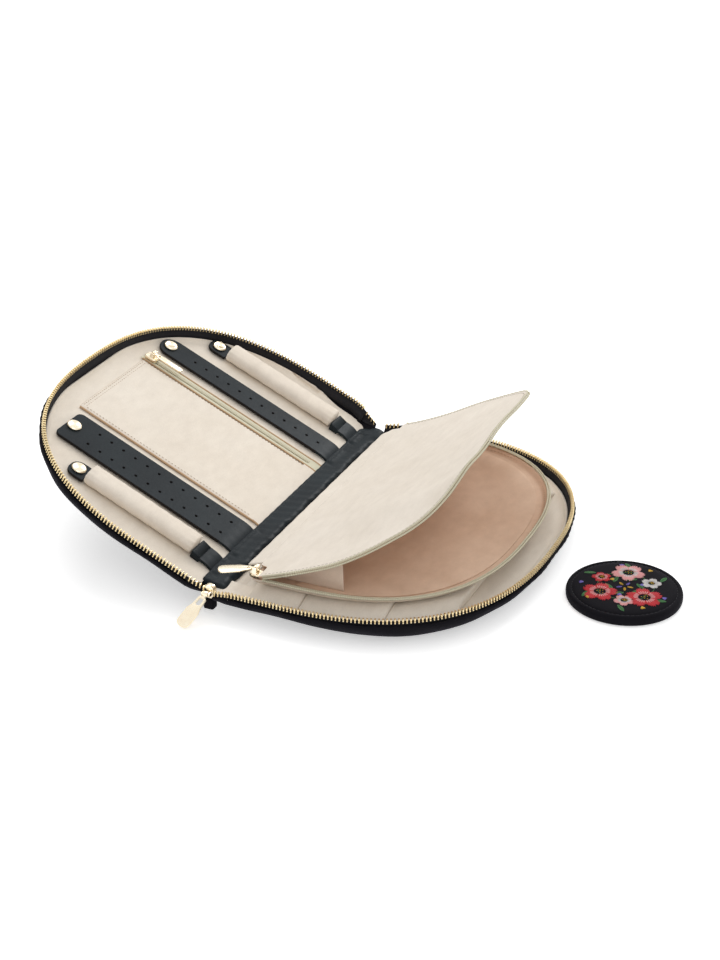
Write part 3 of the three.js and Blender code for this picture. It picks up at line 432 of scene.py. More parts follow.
@dataclass(frozen=True)
class Coil(Finish):
    """Pale woven tape and coil with turns across its own length."""

    turns: float = 300.0

    def dress(self, board: ShaderBoard) -> None:
        """Turn the coil along the piece's own map.

        Args:
            board: The board of the new material.
        """
        cloth = board.place(cloth=True)
        turn = board.waves(cloth, self.turns, "X", 0.2)
        weave = board.noise(board.place(), 1400, 2, 0.6)
        tone = board.ramp(turn, [(0.15, self.shade), (0.55, self.colour)])
        board.colour(board.mix(0.3, tone, board.ramp(weave, [(0.3, self.shade), (0.7, self.colour)])))
        board.rough(board.span(weave, 0.55, 0.75))
        board.bump([(turn, 0.7, 0.0003), (weave, 0.2, 0.0001)])
        board.set(Specular_IOR_Level=0.35)


@dataclass(frozen=True)
class Thread(Finish):
    """Twisted thread, or flat satin stitches side by side."""

    strands: float = 900.0
    shine: float = 0.15

    def dress(self, board: ShaderBoard) -> None:
        """Lay the strands along the piece's own map.

        Args:
            board: The board of the new material.
        """
        cloth = board.place(cloth=True)
        strand = board.waves(cloth, self.strands, "Y", 1.2)
        fuzz = board.noise(board.place(), 1800, 3, 0.6)
        tone = board.ramp(strand, [(0.1, self.shade), (0.6, self.colour)])
        board.colour(board.mix(0.25, tone, board.ramp(fuzz, [(0.3, self.shade), (0.7, self.colour)])))
        board.rough(board.span(fuzz, 0.45, 0.7))
        board.bump([(strand, 0.6, 0.00018), (fuzz, 0.15, 0.0001)])
        board.set(
            Specular_IOR_Level=0.4, Sheen_Weight=self.shine, Sheen_Roughness=0.4, Sheen_Tint=self.colour
        )


@dataclass(frozen=True)
class SilveredGlass(Finish):
    """Mirror glass with the faintest haze."""

    def dress(self, board: ShaderBoard) -> None:
        """Haze the mirror faintly.

        Args:
            board: The board of the new material.
        """
        haze = board.noise(board.place(), 60, 4, 0.6)
        board.colour(board.ramp(haze, [(0.2, self.shade), (0.8, self.colour)]))
        board.rough(board.span(haze, 0.01, 0.04))
        board.set(Metallic=1.0)


class Finishes:
    """Every finish of the case, each made once when first asked for."""

    palette: dict[str, Finish] = {
        finish.name: finish for finish in (
            Suede("cream_suede", linear(240, 231, 218), linear(232, 221, 206)),
            Suede("cream_suede_roll", linear(240, 230, 217), linear(231, 219, 203), 0.4, 0.4),
            Suede("panel_suede", linear(240, 231, 218), linear(233, 222, 207), 0.4, 0.4),
            Suede("page_suede", linear(232, 219, 203), linear(219, 202, 184), 0.6, 0.6),
            # Painted shade and warm bounce light: the pouch is the page's cream cloth, drawn darker and
            # pinker for the shade it lies in.
            Suede("shaded_pouch_suede", linear(228, 200, 176), linear(212, 180, 154), 0.75, 0.8),
            Suede("flap_suede", linear(240, 231, 219), linear(231, 221, 207), 0.45, 0.6),
            # Painted shade and warm bounce light: the gusset is the pouch's cream cloth, drawn darker and
            # pinker.
            Suede("shaded_gusset_suede", linear(226, 208, 190), linear(214, 192, 172), 0.5, 0.5),
            # Painted shade: the folds are the panel's cream suede, drawn in a darker tan for the shade that
            # lies in them.
            Suede("fold_shade_suede", linear(196, 165, 132), linear(176, 142, 108), 0.5, 0.4),
            Velvet("black_velvet", (0.0075, 0.0068, 0.0098), (0.0035, 0.003, 0.005)),
            Woven("zip_tape", (0.012, 0.011, 0.014), (0.004, 0.004, 0.005)),
            Leather("slate_leather", linear(34, 42, 46), linear(25, 31, 35)),
            Leather("leather_edge", linear(38, 33, 31), linear(27, 23, 22), 0.6),
            Metal("pale_gold", linear(250, 239, 216), linear(246, 231, 203)),
            Metal("tooth_gold", linear(240, 222, 178), linear(222, 198, 150), 0.27),
            Coil("pale_coil", linear(214, 208, 184), linear(188, 180, 152)),
            Woven("pale_tape", linear(222, 218, 196), linear(204, 198, 172), 1.4),
            Thread("cream_thread", linear(224, 212, 194), linear(196, 180, 158)),
            Thread("tan_thread", linear(196, 172, 144), linear(168, 142, 114)),
            Thread("olive_thread", linear(150, 140, 112), linear(118, 108, 84)),
            Thread("slate_thread", linear(36, 42, 46), linear(20, 24, 27)),
            Thread("black_thread", linear(34, 32, 38), linear(14, 13, 17)),
            Thread("rose_thread", linear(214, 52, 60), linear(168, 26, 38), 700, 0.35),
            Thread("blush_thread", linear(240, 180, 178), linear(222, 140, 144), 700, 0.35),
            Thread("leaf_thread", linear(86, 142, 84), linear(50, 104, 62), 700, 0.3),
            Thread("straw_thread", linear(232, 190, 72), linear(206, 154, 44), 700, 0.3),
            Thread("lilac_thread", linear(136, 122, 206), linear(98, 84, 172), 700, 0.3),
            Thread("ivory_thread", linear(232, 228, 224), linear(206, 202, 204), 700, 0.3),
            SilveredGlass("mirror_glass", (0.9, 0.92, 0.92), (0.84, 0.87, 0.88)),
        )
    }
    made: dict[str, Material] = {}

    @classmethod
    def get(cls, name: str) -> Material:
        """Give a finish's material, made on first use.

        Args:
            name: The finish's name.

        Returns:
            The material.
        """
        if name not in cls.made:
            cls.made[name] = cls.palette[name].build()
        return cls.made[name]


# Shapes


def grid(columns: int, rows: int, place: Place, size: Pair = (1.0, 1.0), merge: float = 1e-4) -> Mesh:
    """Make a sheet of quads and lay each of its points in place.

    Args:
        columns: Steps along the first direction.
        rows: Steps along the second direction.
        place: Where the point at two shares from 0 to 1 goes, in millimetres.
        size: The sheet's own map in metres.
        merge: Points closer than this become one, in millimetres.

    Returns:
        The mesh, with its own map.
    """
    mesh = bmesh.new()
    bmesh.ops.create_grid(mesh, x_segments=columns, y_segments=rows, size=1.0)
    layer = mesh.loops.layers.uv.new("cloth")
    shares = {vert: ((vert.co.x + 1) / 2, (vert.co.y + 1) / 2) for vert in mesh.verts}
    for face in mesh.faces:
        for loop in face.loops:
            s, t = shares[loop.vert]
            loop[layer].uv = (s * size[0], t * size[1])
    for vert, (s, t) in shares.items():
        vert.co = place(round(s, 6), round(t, 6))
    bmesh.ops.remove_doubles(mesh, verts=mesh.verts, dist=merge)
    return mesh


def facing(mesh: Mesh, toward: Sequence[float]) -> Mesh:
    """Turn all faces of an open sheet to one side.

    Args:
        mesh: The sheet.
        toward: The direction that its faces look at on the whole.

    Returns:
        The sheet.
    """
    bmesh.ops.recalc_face_normals(mesh, faces=mesh.faces)
    look = sum((face.normal * face.calc_area() for face in mesh.faces), Vector())
    if look.dot(Vector(toward)) < 0:
        bmesh.ops.reverse_faces(mesh, faces=mesh.faces)
    return mesh


def solid(mesh: Mesh) -> Mesh:
    """Turn all faces of a closed mesh outwards."""
    bmesh.ops.recalc_face_normals(mesh, faces=mesh.faces)
    return mesh


def close(mesh: Mesh) -> Mesh:
    """Fill the open ends of a tube and turn its faces outwards.

    Args:
        mesh: The tube.

    Returns:
        The closed mesh.
    """
    edges = [edge for edge in mesh.edges if edge.is_boundary]
    if edges:
        bmesh.ops.holes_fill(mesh, edges=edges, sides=0)
    return solid(mesh)


def sweep(path: Sequence[Vector], ups: Sequence[Vector], section: Sequence[Pair],
          closed: bool = False, scale: Callable[[float], float] | None = None) -> Mesh:
    """Carry a closed cross-section along a path.

    Args:
        path: Points of the path, in millimetres.
        ups: The up direction at each point.
        section: Points of the cross-section, sideways and up, in order round it.
        closed: Whether the path's end joins its start.
        scale: Size of the section at a share of the path.

    Returns:
        A closed mesh whose own map runs along the path in metres.
    """
    count = len(path)
    length = sum((path[i + 1] - path[i]).length for i in range(count - 1)) / 1000
    girth = sum(math.dist(section[i], section[i - 1]) for i in range(len(section))) / 1000
    frames = []
    for i, point in enumerate(path):
        ahead = path[(i + 1) % count] if closed else path[min(i + 1, count - 1)]
        behind = path[i - 1] if closed or i else path[0]
        along = (ahead - behind).normalized()
        side = along.cross(ups[i]).normalized()
        frames.append((point, side, side.cross(along).normalized()))
    loops = frames + frames[:1] if closed else frames
    steps, around = len(loops) - 1, len(section)

    def place(s: float, t: float) -> Point:
        """Give the point at a share along and round.

        Args:
            s: Share of the first direction, 0 to 1.
            t: Share of the second direction, 0 to 1.

        Returns:
            The point.
        """
        i = round(s * steps)
        x, y = section[round(t * around) % around]
        point, side, up = loops[i]
        size = scale(i / steps) if scale else 1.0
        return tuple(point + side * (x * size) + up * (y * size))

    return close(grid(steps, around, place, (length, girth)))


def round_section(wide: float, high: float, steps: int = 10, power: float = 1.0,
                  lift: float = 0.0) -> list[Pair]:
    """Give a rounded cross-section, from round at power 1 to boxy below it.

    Args:
        wide: Width.
        high: Height.
        steps: Points round it.
        power: Roundness.
        lift: Height of its middle.

    Returns:
        The points.
    """
    points = []
    for i in range(steps):
        angle = 2 * math.pi * i / steps
        c, s = math.cos(angle), math.sin(angle)
        points.append((
            math.copysign(abs(c) ** power, c) * wide / 2,
            math.copysign(abs(s) ** power, s) * high / 2 + lift,
        ))
    return points


def turned(profile: Sequence[Pair], centre: Point, steps: int = 40) -> Mesh:
    """Spin a profile of radius and height about an upright axis.

    Args:
        profile: Radius and height of each point, from the axis to the axis.
        centre: The axis' foot, in millimetres.
        steps: Steps round.

    Returns:
        A closed mesh.
    """
    mesh = bmesh.new()
    verts = [mesh.verts.new((centre[0] + r, centre[1], centre[2] + z)) for r, z in profile]
    edges = [mesh.edges.new(pair) for pair in zip(verts, verts[1:])]
    bmesh.ops.spin(
        mesh, geom=verts + edges, cent=centre, axis=(0, 0, 1), angle=2 * math.pi, steps=steps, use_merge=True,
    )
    bmesh.ops.remove_doubles(mesh, verts=mesh.verts, dist=1e-4)
    return solid(mesh)


def plate(outline: Sequence[Pair], low: float, high: float, bevel: float = 0.0,
          holes: Sequence[Sequence[Pair]] = (), segments: int = 2) -> Mesh:
    """Make a flat plate with holes and softened edges.

    Args:
        outline: Points of its edge.
        low: Height of its underside.
        high: Height of its top.
        bevel: Width of the softened edge.
        holes: Points of each hole.
        segments: Steps across the softened edge.

    Returns:
        A closed mesh.
    """
    mesh = bmesh.new()
    for ring in (outline, *holes):
        verts = [mesh.verts.new((x, y, low)) for x, y in ring]
        for a, b in zip(verts, verts[1:] + verts[:1]):
            mesh.edges.new((a, b))
    bmesh.ops.triangle_fill(mesh, use_beauty=True, edges=mesh.edges, normal=(0, 0, 1))
    lifted = bmesh.ops.extrude_face_region(mesh, geom=mesh.faces[:] + mesh.edges[:] + mesh.verts[:])["geom"]
    bmesh.ops.translate(
        mesh, verts=[g for g in lifted if isinstance(g, bmesh.types.BMVert)], vec=(0, 0, high - low)
    )
    solid(mesh)
    if bevel:
        sharp = [edge for edge in mesh.edges if len(edge.link_faces) == 2 and edge.calc_face_angle() > 1.2
                 and abs(edge.verts[0].co.z - edge.verts[1].co.z) < 1e-6]
        bmesh.ops.bevel(
            mesh, geom=sharp, offset=bevel, segments=segments, profile=0.5, affect="EDGES", material=-1
        )
    return mesh


def tab_outline(u0: float, u1: float, middle: float, width: float, start: float, end: float,
                steps: int = 8) -> list[Pair]:
    """Give the outline of a rounded strip along the first axis.

    Args:
        u0: Near end.
        u1: Far end.
        middle: The strip's middle line.
        width: Width.
        start: Radius of the near corners.
        end: Radius of the far corners.
        steps: Steps round a corner.

    Returns:
        The points.
    """
    half = width / 2
    points: list[Pair] = []
    for cx, cy, radius, turn in (
        (u1 - end, -half + end, end, -math.pi / 2), (u1 - end, half - end, end, 0.0),
        (u0 + start, half - start, start, math.pi / 2), (u0 + start, -half + start, start, math.pi),
    ):
        for i in range(steps + 1):
            angle = turn + i / steps * math.pi / 2
            points.append((cx + radius * math.cos(angle), middle + cy + radius * math.sin(angle)))
    return points


def circle(x: float, y: float, radius: float, steps: int = 14) -> list[Pair]:
    """Give the points of a circle."""
    angles = [-2 * math.pi * i / steps for i in range(steps)]
    return [(x + radius * math.cos(angle), y + radius * math.sin(angle)) for angle in angles]


@dataclass
class Piece:
    """Turns a mesh into a finished piece of the case that rides on a body."""

    name: str
    mesh: Mesh
    side: Side
    body: str
    finishes: tuple[str, ...]
    slot: str
    nodes: tuple[str, ...] = ()
    angle: float = 50.0
    thickness: float = 0.0
    soften: float = 0.0
    lined: bool = False
    plates: bool = False
    even: bool = False

    def make(self) -> Item:
        """Place the mesh, dress it, hang it on its body and hide the nodes that it stands for.

        Returns:
            The object, at the origin with its place in its mesh.
        """
        matrix = self.side.matrix()
        self.mesh.transform(matrix)
        if matrix.determinant() < 0:
            bmesh.ops.reverse_faces(self.mesh, faces=self.mesh.faces)
        data = bpy.data.meshes.new(self.name)
        self.mesh.to_mesh(data)
        self.mesh.free()
        item = bpy.data.objects.new(self.name, data)
        bpy.context.scene.collection.objects.link(item)
        for finish in self.finishes:
            data.materials.append(Finishes.get(finish))
        data.shade_smooth()
        data.set_sharp_from_angle(angle=math.radians(self.angle))
        if self.plates:
            up = (matrix.to_3x3() @ Vector((0, 0, 1))).normalized()
            for face in data.polygons:
                face.use_smooth = abs(face.normal.dot(up)) < 0.9995
        if self.thickness:
            shell = item.modifiers.new("thickness", "SOLIDIFY")
            shell.thickness = self.thickness / 1000
            shell.offset = -1
            shell.use_even_offset = self.even
            if self.lined:
                shell.material_offset = shell.material_offset_rim = 1
        if self.soften:
            edge = item.modifiers.new("soft_edges", "BEVEL")
            edge.width = self.soften / 1000
            edge.segments = 2
            edge.limit_method = "ANGLE"
            edge.angle_limit = math.radians(50)
        if self.body:
            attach(item, self.body)
        if self.nodes:
            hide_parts(*self.nodes)
        LOG.info("%s: %d faces on %s", self.name, len(data.polygons), self.body)
        return item


def refined(node: str, bevel: float, segments: int = 2) -> Mesh:
    """Copy a metal node, merge its triangles and soften its edges.

    Args:
        node: The node's name.
        bevel: Width of the softened edges, in millimetres.
        segments: Steps across them.

    Returns:
        The mesh, in millimetres of the row frame.
    """
    mesh = bmesh.new()
    mesh.from_mesh(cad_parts[node].data)
    mesh.transform(Matrix.Scale(1000, 4))
    bmesh.ops.remove_doubles(mesh, verts=mesh.verts, dist=1e-3)
    bmesh.ops.dissolve_limit(mesh, angle_limit=math.radians(2), verts=mesh.verts, edges=mesh.edges)
    sharp = [
        edge for edge in mesh.edges if len(edge.link_faces) == 2 and edge.calc_face_angle() > math.radians(38)
    ]
    bmesh.ops.bevel(
        mesh, geom=sharp, offset=bevel, segments=segments, profile=0.5, affect="EDGES", clamp_overlap=True,
        material=-1,
    )
    return mesh


@dataclass
class StitchRow:
    """A row of stitches along a path on a surface."""

    path: Sequence[Vector]
    ups: Sequence[Vector]
    length: float = 1.9
    gap: float = 0.9
    radius: float = 0.2
    lift: float = 0.05

    def mesh(self) -> Mesh:
        """Lay one small thread capsule at each step.

        Returns:
            The row as one mesh.
        """
        row = bmesh.new()
        points = np.array([tuple(p) for p in self.path], float)
        ups = np.array([tuple(p) for p in self.ups], float)
        reach = np.concatenate(([0], np.cumsum(np.linalg.norm(np.diff(points, axis=0), axis=1))))
        pitch = self.length + self.gap
        for k in range(int(reach[-1] / pitch)):
            at = (k + 0.5) * pitch
            spots = [
                Vector([np.interp(at + d, reach, points[:, i]) for i in range(3)]) for d in (-0.3, 0, 0.3)
            ]
            up = Vector([np.interp(at, reach, ups[:, i]) for i in range(3)]).normalized()
            along = (spots[2] - spots[0]).normalized()
            across = up.cross(along).normalized()
            turn = Matrix((along, across, along.cross(across))).transposed().to_4x4()
            size = Matrix.Diagonal((self.length / 2, self.radius, self.radius, 1))
            bmesh.ops.create_icosphere(
                row, subdivisions=1, radius=1.0,
                matrix=Matrix.Translation(spots[1] + up * self.lift) @ turn @ size, calc_uvs=True,
            )
        return row


def sew(name: str, path: Sequence[Vector], side: Side, body: str, thread: str, slot: str,
        stitch: tuple[float, float, float, float], ups: Sequence[Vector] | None = None) -> Item:
    """Sew a row of stitches along a path.

    Args:
        name: The row's name.
        path: Points of the path, in millimetres.
        side: The part that the path's coordinates belong to.
        body: The body that the row rides on.
        thread: The thread's finish.
        slot: The row's material slot. It is not used.
        stitch: Length, gap, radius and lift of each stitch.
        ups: The surface's normal at each point. It is straight up where none are given.

    Returns:
        The row.
    """
    row = StitchRow(path, ups or [UP] * len(path), *stitch)
    return Piece(name, row.mesh(), side, body, (thread,), slot).make()


def add_tooth(mesh: Mesh, place: Matrix, long: float | None = None) -> None:
    """Add a zip tooth: legs that grip the tape, a neck and a head.

    Args:
        mesh: The chain.
        place: Turn and place of the tooth's top, first axis along the chain, second outwards.
        long: Length of every block along the chain, where it isn't the block's own.
    """
    for low, high, deep, own in TOOTH_BLOCKS:
        size = Matrix.Diagonal((long or own, deep, high - low, 1))
        bmesh.ops.create_cube(
            mesh, size=1, matrix=place @ Matrix.Translation((0, 0, (low + high) / 2)) @ size
        )


def chain(name: str, mesh: Mesh, side: Side, body: str, nodes: tuple[str, ...]) -> Item:
    """Soften the teeth of a chain and make it a piece.

    Args:
        name: The chain's name.
        mesh: Its teeth.
        side: The part that its coordinates belong to.
        body: The body that it rides on.
        nodes: The nodes that it stands for.

    Returns:
        The chain.
    """
    bmesh.ops.bevel(mesh, geom=mesh.edges, offset=0.2, segments=1, profile=0.5, affect="EDGES", material=-1)
    return Piece(name, solid(mesh), side, body, ("tooth_gold",), "gold_metal", nodes, angle=25).make()


@dataclass
class CaseLine:
    """The line of the zip teeth round one half of the case."""

    half_length: float = 127.0
    reach: float = 153.0
    corner_depth: float = 120.0
    power: float = 2.5
    end_rounding: float = 24.0
    shares: tuple[float, ...] = (0, 0.05, 0.1, 0.16, 0.23, 0.31, 0.4, 0.5)
    insets: tuple[float, ...] = (45, 42, 36, 24, 18, 22, 34, 44)
    roundness: float = 1.9
    corner_share: float = 0.86
    points: np.ndarray = field(init=False)
    distance: np.ndarray = field(init=False)

    def __post_init__(self) -> None:
        """Measure the line finely."""
        self.points = np.array([self.point(i / 3600) for i in range(3601)])
        steps = np.linalg.norm(np.diff(self.points, axis=0), axis=1)
        self.distance = np.concatenate(([0], np.cumsum(steps)))

    @property
    def straight(self) -> float:
        """Length of the straight run beside the fold."""
        return self.reach - self.corner_depth

    @property
    def length(self) -> float:
        """Length of the whole line."""
        return float(self.distance[-1])

    def point(self, share: float) -> Pair:
        """Give the raw point at a parameter from 0, at the front, to 1.

        Args:
            share: The parameter.

        Returns:
            Distance from the fold, and place along the spine.
        """
        turn = (share - 0.5) * 2
        side = math.copysign(1, turn)
        if abs(turn) > self.corner_share:
            along = self.straight * (1 - (abs(turn) - self.corner_share) / (1 - self.corner_share))
            y = side * self.half_length
            inward = self.end_rounding * 0.6 - along
            if turn > 0 and inward > 0:
                y -= self.end_rounding - math.sqrt(self.end_rounding ** 2 - inward ** 2)
            return along, y
        angle = turn / self.corner_share * math.pi / 2
        bend = 2 / self.power
        return (
            self.straight + self.corner_depth * abs(math.cos(angle)) ** bend,
            side * self.half_length * abs(math.sin(angle)) ** bend,
        )

    def at(self, distance: np.ndarray) -> tuple[np.ndarray, np.ndarray]:
        """Give points at distances along the line, and their outward directions.

        Args:
            distance: Distances from the front end.

        Returns:
            Points and outward unit vectors.
        """
        def here(d: np.ndarray) -> np.ndarray:
            """Interpolate the fine line."""
            return np.stack([np.interp(d, self.distance, self.points[:, i]) for i in (0, 1)], axis=-1)

        along = here(np.minimum(distance + 0.5, self.length)) - here(np.maximum(distance - 0.5, 0))
        along /= np.linalg.norm(along, axis=-1, keepdims=True)
        return here(distance), np.stack([along[..., 1], -along[..., 0]], axis=-1)

    def outline(self, offset: float | Callable[[np.ndarray], np.ndarray], start: float, steps: int,
                reach: float = 999.0) -> np.ndarray:
        """Give the line moved out by an offset, from the given distance beside the fold.

        Args:
            offset: Length, or a function of the share of the line.
            start: Distance from the fold where it starts and ends.
            steps: Steps along it.
            reach: Greatest distance from the fold.

        Returns:
            Points, one more than the steps.
        """
        middle = len(self.points) // 2
        first = float(np.interp(start, self.points[:middle:10, 0][:60], self.distance[:middle:10][:60]))
        back = self.points[::-1][:middle:10, 0][:60]
        last = self.length - float(np.interp(start, back, self.length - self.distance[::-1][:middle:10][:60]))
        distance = np.linspace(first, last, steps + 1)
        points, out = self.at(distance)
        beside = points[:, 0] < self.end_rounding
        out[beside] = np.stack([np.zeros(beside.sum()), np.sign(points[beside, 1])], axis=-1)
        far = offset(distance / self.length) if callable(offset) else np.full(steps + 1, offset)
        moved = points + out * far[:, None]
        moved[:, 0] = np.minimum(moved[:, 0], reach)
        moved[[0, -1], 0] = start
        return moved

    def underside(self, share: np.ndarray) -> np.ndarray:
        """Give how far the flat underside lies inside the line.

        Args:
            share: Shares of the line.

        Returns:
            A distance for each share.
        """
        fine = np.linspace(0, 0.5, 201)
        raw = np.interp(fine, self.shares, self.insets)
        padded = np.concatenate((raw[8:0:-1], raw, raw[-2:-10:-1]))
        soft = np.convolve(padded, np.ones(17) / 17, mode="valid")
        return np.interp(np.minimum(share, 1 - share), fine, soft)

    def wall(self, height: float, top: float) -> Callable[[np.ndarray], np.ndarray]:
        """Give the rounded wall's offset at a share of its height."""
        run = (1 - (1 - min(1.0, max(0.0, height))) ** self.roundness) ** (1 / self.roundness)
        return lambda share: -self.underside(share) + (self.underside(share) + top) * run

    def depth(self, y: float, inset: float) -> float:
        """Give how far from the fold the line moved in by an inset lies at a place along the spine."""
        share = min(1.0, abs(y) / (self.half_length - inset))
        return self.straight + (self.corner_depth - inset) * (1 - share ** self.power) ** (1 / self.power)


LINE = CaseLine()


def edge_distance(points: np.ndarray, rim: np.ndarray, start: float) -> np.ndarray:
    """Measure each point's distance to a rim and to the straight edge beside the fold.

    Args:
        points: Points to measure.
        rim: Points along the rim.
        start: Place of the straight edge.

    Returns:
        The shorter distance of each point.
    """
    best = points[:, 0] - start
    for a, b in zip(rim[:-1], rim[1:]):
        along = b - a
        share = np.clip(((points - a) @ along) / max(1e-9, along @ along), 0, 1)
        best = np.minimum(best, np.linalg.norm(points - a - share[:, None] * along, axis=1))
    return np.maximum(best, 0)


@dataclass
class Bay:
    """A sheet that fills the outline of a case half, set in by an inset."""

    inset: float
    start: float
    reach: float = 999.0
    columns: int = 110
    rows: int = 70
    closed: bool = True

    def flat(self, s: float, t: float) -> Pair:
        """Give the flat place of the sheet's point at two shares.

        Args:
            s: Share of the first direction, 0 to 1.
            t: Share of the second direction, 0 to 1.

        Returns:
            Distance from the fold, and place along the spine.
        """
        half = self.half
        y = half * math.sin((s - 0.5) * math.pi) * 0.99995
        end = min(self.reach, LINE.depth(y, self.inset))
        return self.start + (end - self.start) * (1 - math.cos(t * math.pi)) / 2, y

    @property
    def half(self) -> float:
        """Half length of the sheet along the spine."""
        return LINE.half_length - self.inset

    def area(self) -> float:
        """Measure the sheet's flat area.

        Returns:
            The area in square metres.
        """
        ys = np.linspace(-self.half, self.half, 400)
        return float(
            np.trapz([min(self.reach, LINE.depth(y, self.inset)) - self.start for y in ys], ys)
        ) / 1e6

    def sheet(self, height: Callable[[float, float, float], Point]) -> Mesh:
        """Lay the sheet with a height that may depend on the distance from its edge.

        Args:
            height: Gives the point for the distance from the fold, the place along the spine and the distance
                from the edge.

        Returns:
            The open sheet.
        """
        shares = [
            (i / self.columns, j / self.rows) for i in range(self.columns + 1) for j in range(self.rows + 1)
        ]
        flats = np.array([self.flat(s, t) for s, t in shares])
        rim_y = self.half * np.sin((np.linspace(0, 1, 240) - 0.5) * math.pi)
        rim = np.array([(min(self.reach, LINE.depth(y, self.inset)), y) for y in rim_y])
        foot = self.start if self.closed else self.start - 40
        rim = np.vstack(([foot, -self.half], rim, [foot, self.half]))
        near = edge_distance(flats, rim, self.start if self.closed else -999.0)
        known = {
            (round(s * self.columns), round(t * self.rows)): height(float(p[0]), float(p[1]), float(d))
            for (s, t), p, d in zip(shares, flats, near)
        }
        return grid(
            self.columns, self.rows, lambda s, t: known[round(s * self.columns), round(t * self.rows)],
            (0.24, 0.15),
        )


# Case halves


@dataclass
class CaseHalf:
    """One half of the case: velvet cover, zip tape, teeth and lining."""

    name: str
    side: Side
    tooth_shift: float
    bulge: float = 2.0
    top: float = 14.8
    wall: float = 1.2
    tape_top: float = 17.0
    tape_foot: float = 10.0
    floor: float = 2.1
    lining_inset: float = 3.9
    lining_start: float = 3.2
    lining_reach: float = 147.0

    def cover(self) -> Item:
        """Make the padded velvet cover, drawn in along its upper seam.

        Returns:
            The cover.
        """
        columns, walls, floor_rows = 220, 14, 4
        line = {}
        shares = [i / walls for i in range(walls + 1)]
        heights = [0.35 * math.sin(share * math.pi / 2) ** 2 + 0.65 * share ** 1.4 for share in shares]
        for k, height in enumerate(heights):
            bulge = self.bulge - 0.75 * smooth(height, 0.93, 1.0)
            line[k] = (LINE.outline(LINE.wall(height, bulge), 0.3, columns), height * self.top)
        middle = [0.3 + 95 * (1 - abs(2 * i / columns - 1)) ** 0.5 for i in range(columns + 1)]
        rows = walls + floor_rows

        def place(s: float, t: float) -> Point:
            """Give the point at a share along the outline and from the middle out.

            Args:
                s: Share of the first direction, 0 to 1.
                t: Share of the second direction, 0 to 1.

            Returns:
                The point.
            """
            i, k = round(s * columns), round(t * rows)
            if k < floor_rows:
                (x, y), share = line[0][0][i], k / floor_rows
                return middle[i] + (x - middle[i]) * share, y * share, 0.0
            (x, y), z = line[k - floor_rows][0][i], line[k - floor_rows][1]
            drawn = 0.22 * smooth(z, 9, 14) * math.sin(i * 1.9) + 0.3 * smooth(z, 3, 9) * math.sin(
                i * 0.31 + k * 0.5
            )
            lean = math.hypot(x - 60, y) or 1
            return x + (x - 60) / lean * drawn * smooth(x, 1, 12), y + y / lean * drawn, z

        mesh = facing(grid(columns, rows, place, (0.4, 0.08)), (0, 0, -1))
        return Piece(
            f"{self.name}_cover", mesh, self.side, self.name, ("black_velvet",), "black_velvet",
            (f"{self.name}_shell",), thickness=self.wall, soften=0.35,
        ).make()

    def tape(self) -> None:
        """Make the woven tape that stands inside the cover's edge and carries the teeth."""
        columns = 200
        low = LINE.wall((self.tape_foot - self.floor) / (self.top - self.floor), 0.75)
        levels = [
            (LINE.outline(lambda share: low(share) - 0.75, 0.4, columns), self.tape_foot),
            (LINE.outline(lambda share: 0.45 * low(share) - 0.4, 0.4, columns), 12.6),
            (LINE.outline(0.0, 0.4, columns), 14.9),
            (LINE.outline(0.0, 0.4, columns), self.tape_top),
        ]

        def place(s: float, t: float) -> Point:
            """Give the point at a share along the zip and up the tape."""
            points, z = levels[round(t * 3)]
            return (*points[round(s * columns)], z)

        mesh = facing(grid(columns, 3, place, (LINE.length / 1000, 0.008)), (1, 0, 0))
        Piece(
            f"{self.name}_tape", mesh, self.side, self.name, ("zip_tape",), "zip_tape",
            (f"{self.name}_zip_tape",), thickness=0.85,
        ).make()

    def teeth(self) -> None:
        """Make the row of metal teeth, each a head above two legs that grip the tape."""
        count = int((LINE.length - 2) / TOOTH_PITCH) - 1
        starts = 1 + (np.arange(count) + self.tooth_shift + 0.3) * TOOTH_PITCH
        points, outs = LINE.at(starts)
        mesh = bmesh.new()
        for (x, y), (ox, oy) in zip(points, outs):
            add_tooth(mesh, Matrix(((-oy, ox, 0, x), (ox, oy, 0, y), (0, 0, 1, TOOTH_TOP), (0, 0, 0, 1))))
        chain(f"{self.name}_teeth", mesh, self.side, self.name, (f"{self.name}_zip_teeth",))

    def lining(self) -> None:
        """Make the suede pad inside the half, sewn to the tape at its edge."""
        bay = Bay(self.lining_inset, self.lining_start, self.lining_reach, closed=False)

        def height(u: float, y: float, d: float) -> Point:
            """Turn the pad up to the tape at its edge.

            Args:
                u: Distance from the fold.
                y: Place along the spine.
                d: Distance from the edge.

            Returns:
                The point.
            """
            ease = 0.18 * math.sin(u * 0.11 + 1) * math.sin(y * 0.07) * smooth(min(d, u), 6, 20)
            turned_up = 4.0 * smooth(u, 14, 42) - 1.2
            drawn_in = (1.3 * (1 - smooth(u, 30, 60)) + 1.1 * (1 - smooth(u, 5, 9))) * math.exp(-d / 3)
            return u, y - math.copysign(drawn_in, y), LINING_TOP + turned_up * math.exp(-d / 1.2) + ease

        item = Piece(
            f"{self.name}_pad", facing(bay.sheet(height), (0, 0, 1)), self.side, self.name,
            ("cream_suede",), "cream_suede",
            (f"{self.name}_lining",), thickness=1.6,
        ).make()

    def build(self) -> None:
        """Build the half's four pieces."""
        self.cover()
        self.tape()
        self.teeth()
        self.lining()


def spot(side: Side, point: Sequence[float]) -> Vector:
    """Turn a point of a part into millimetres of the row frame."""
    return (side.matrix() @ Vector(point)) * 1000


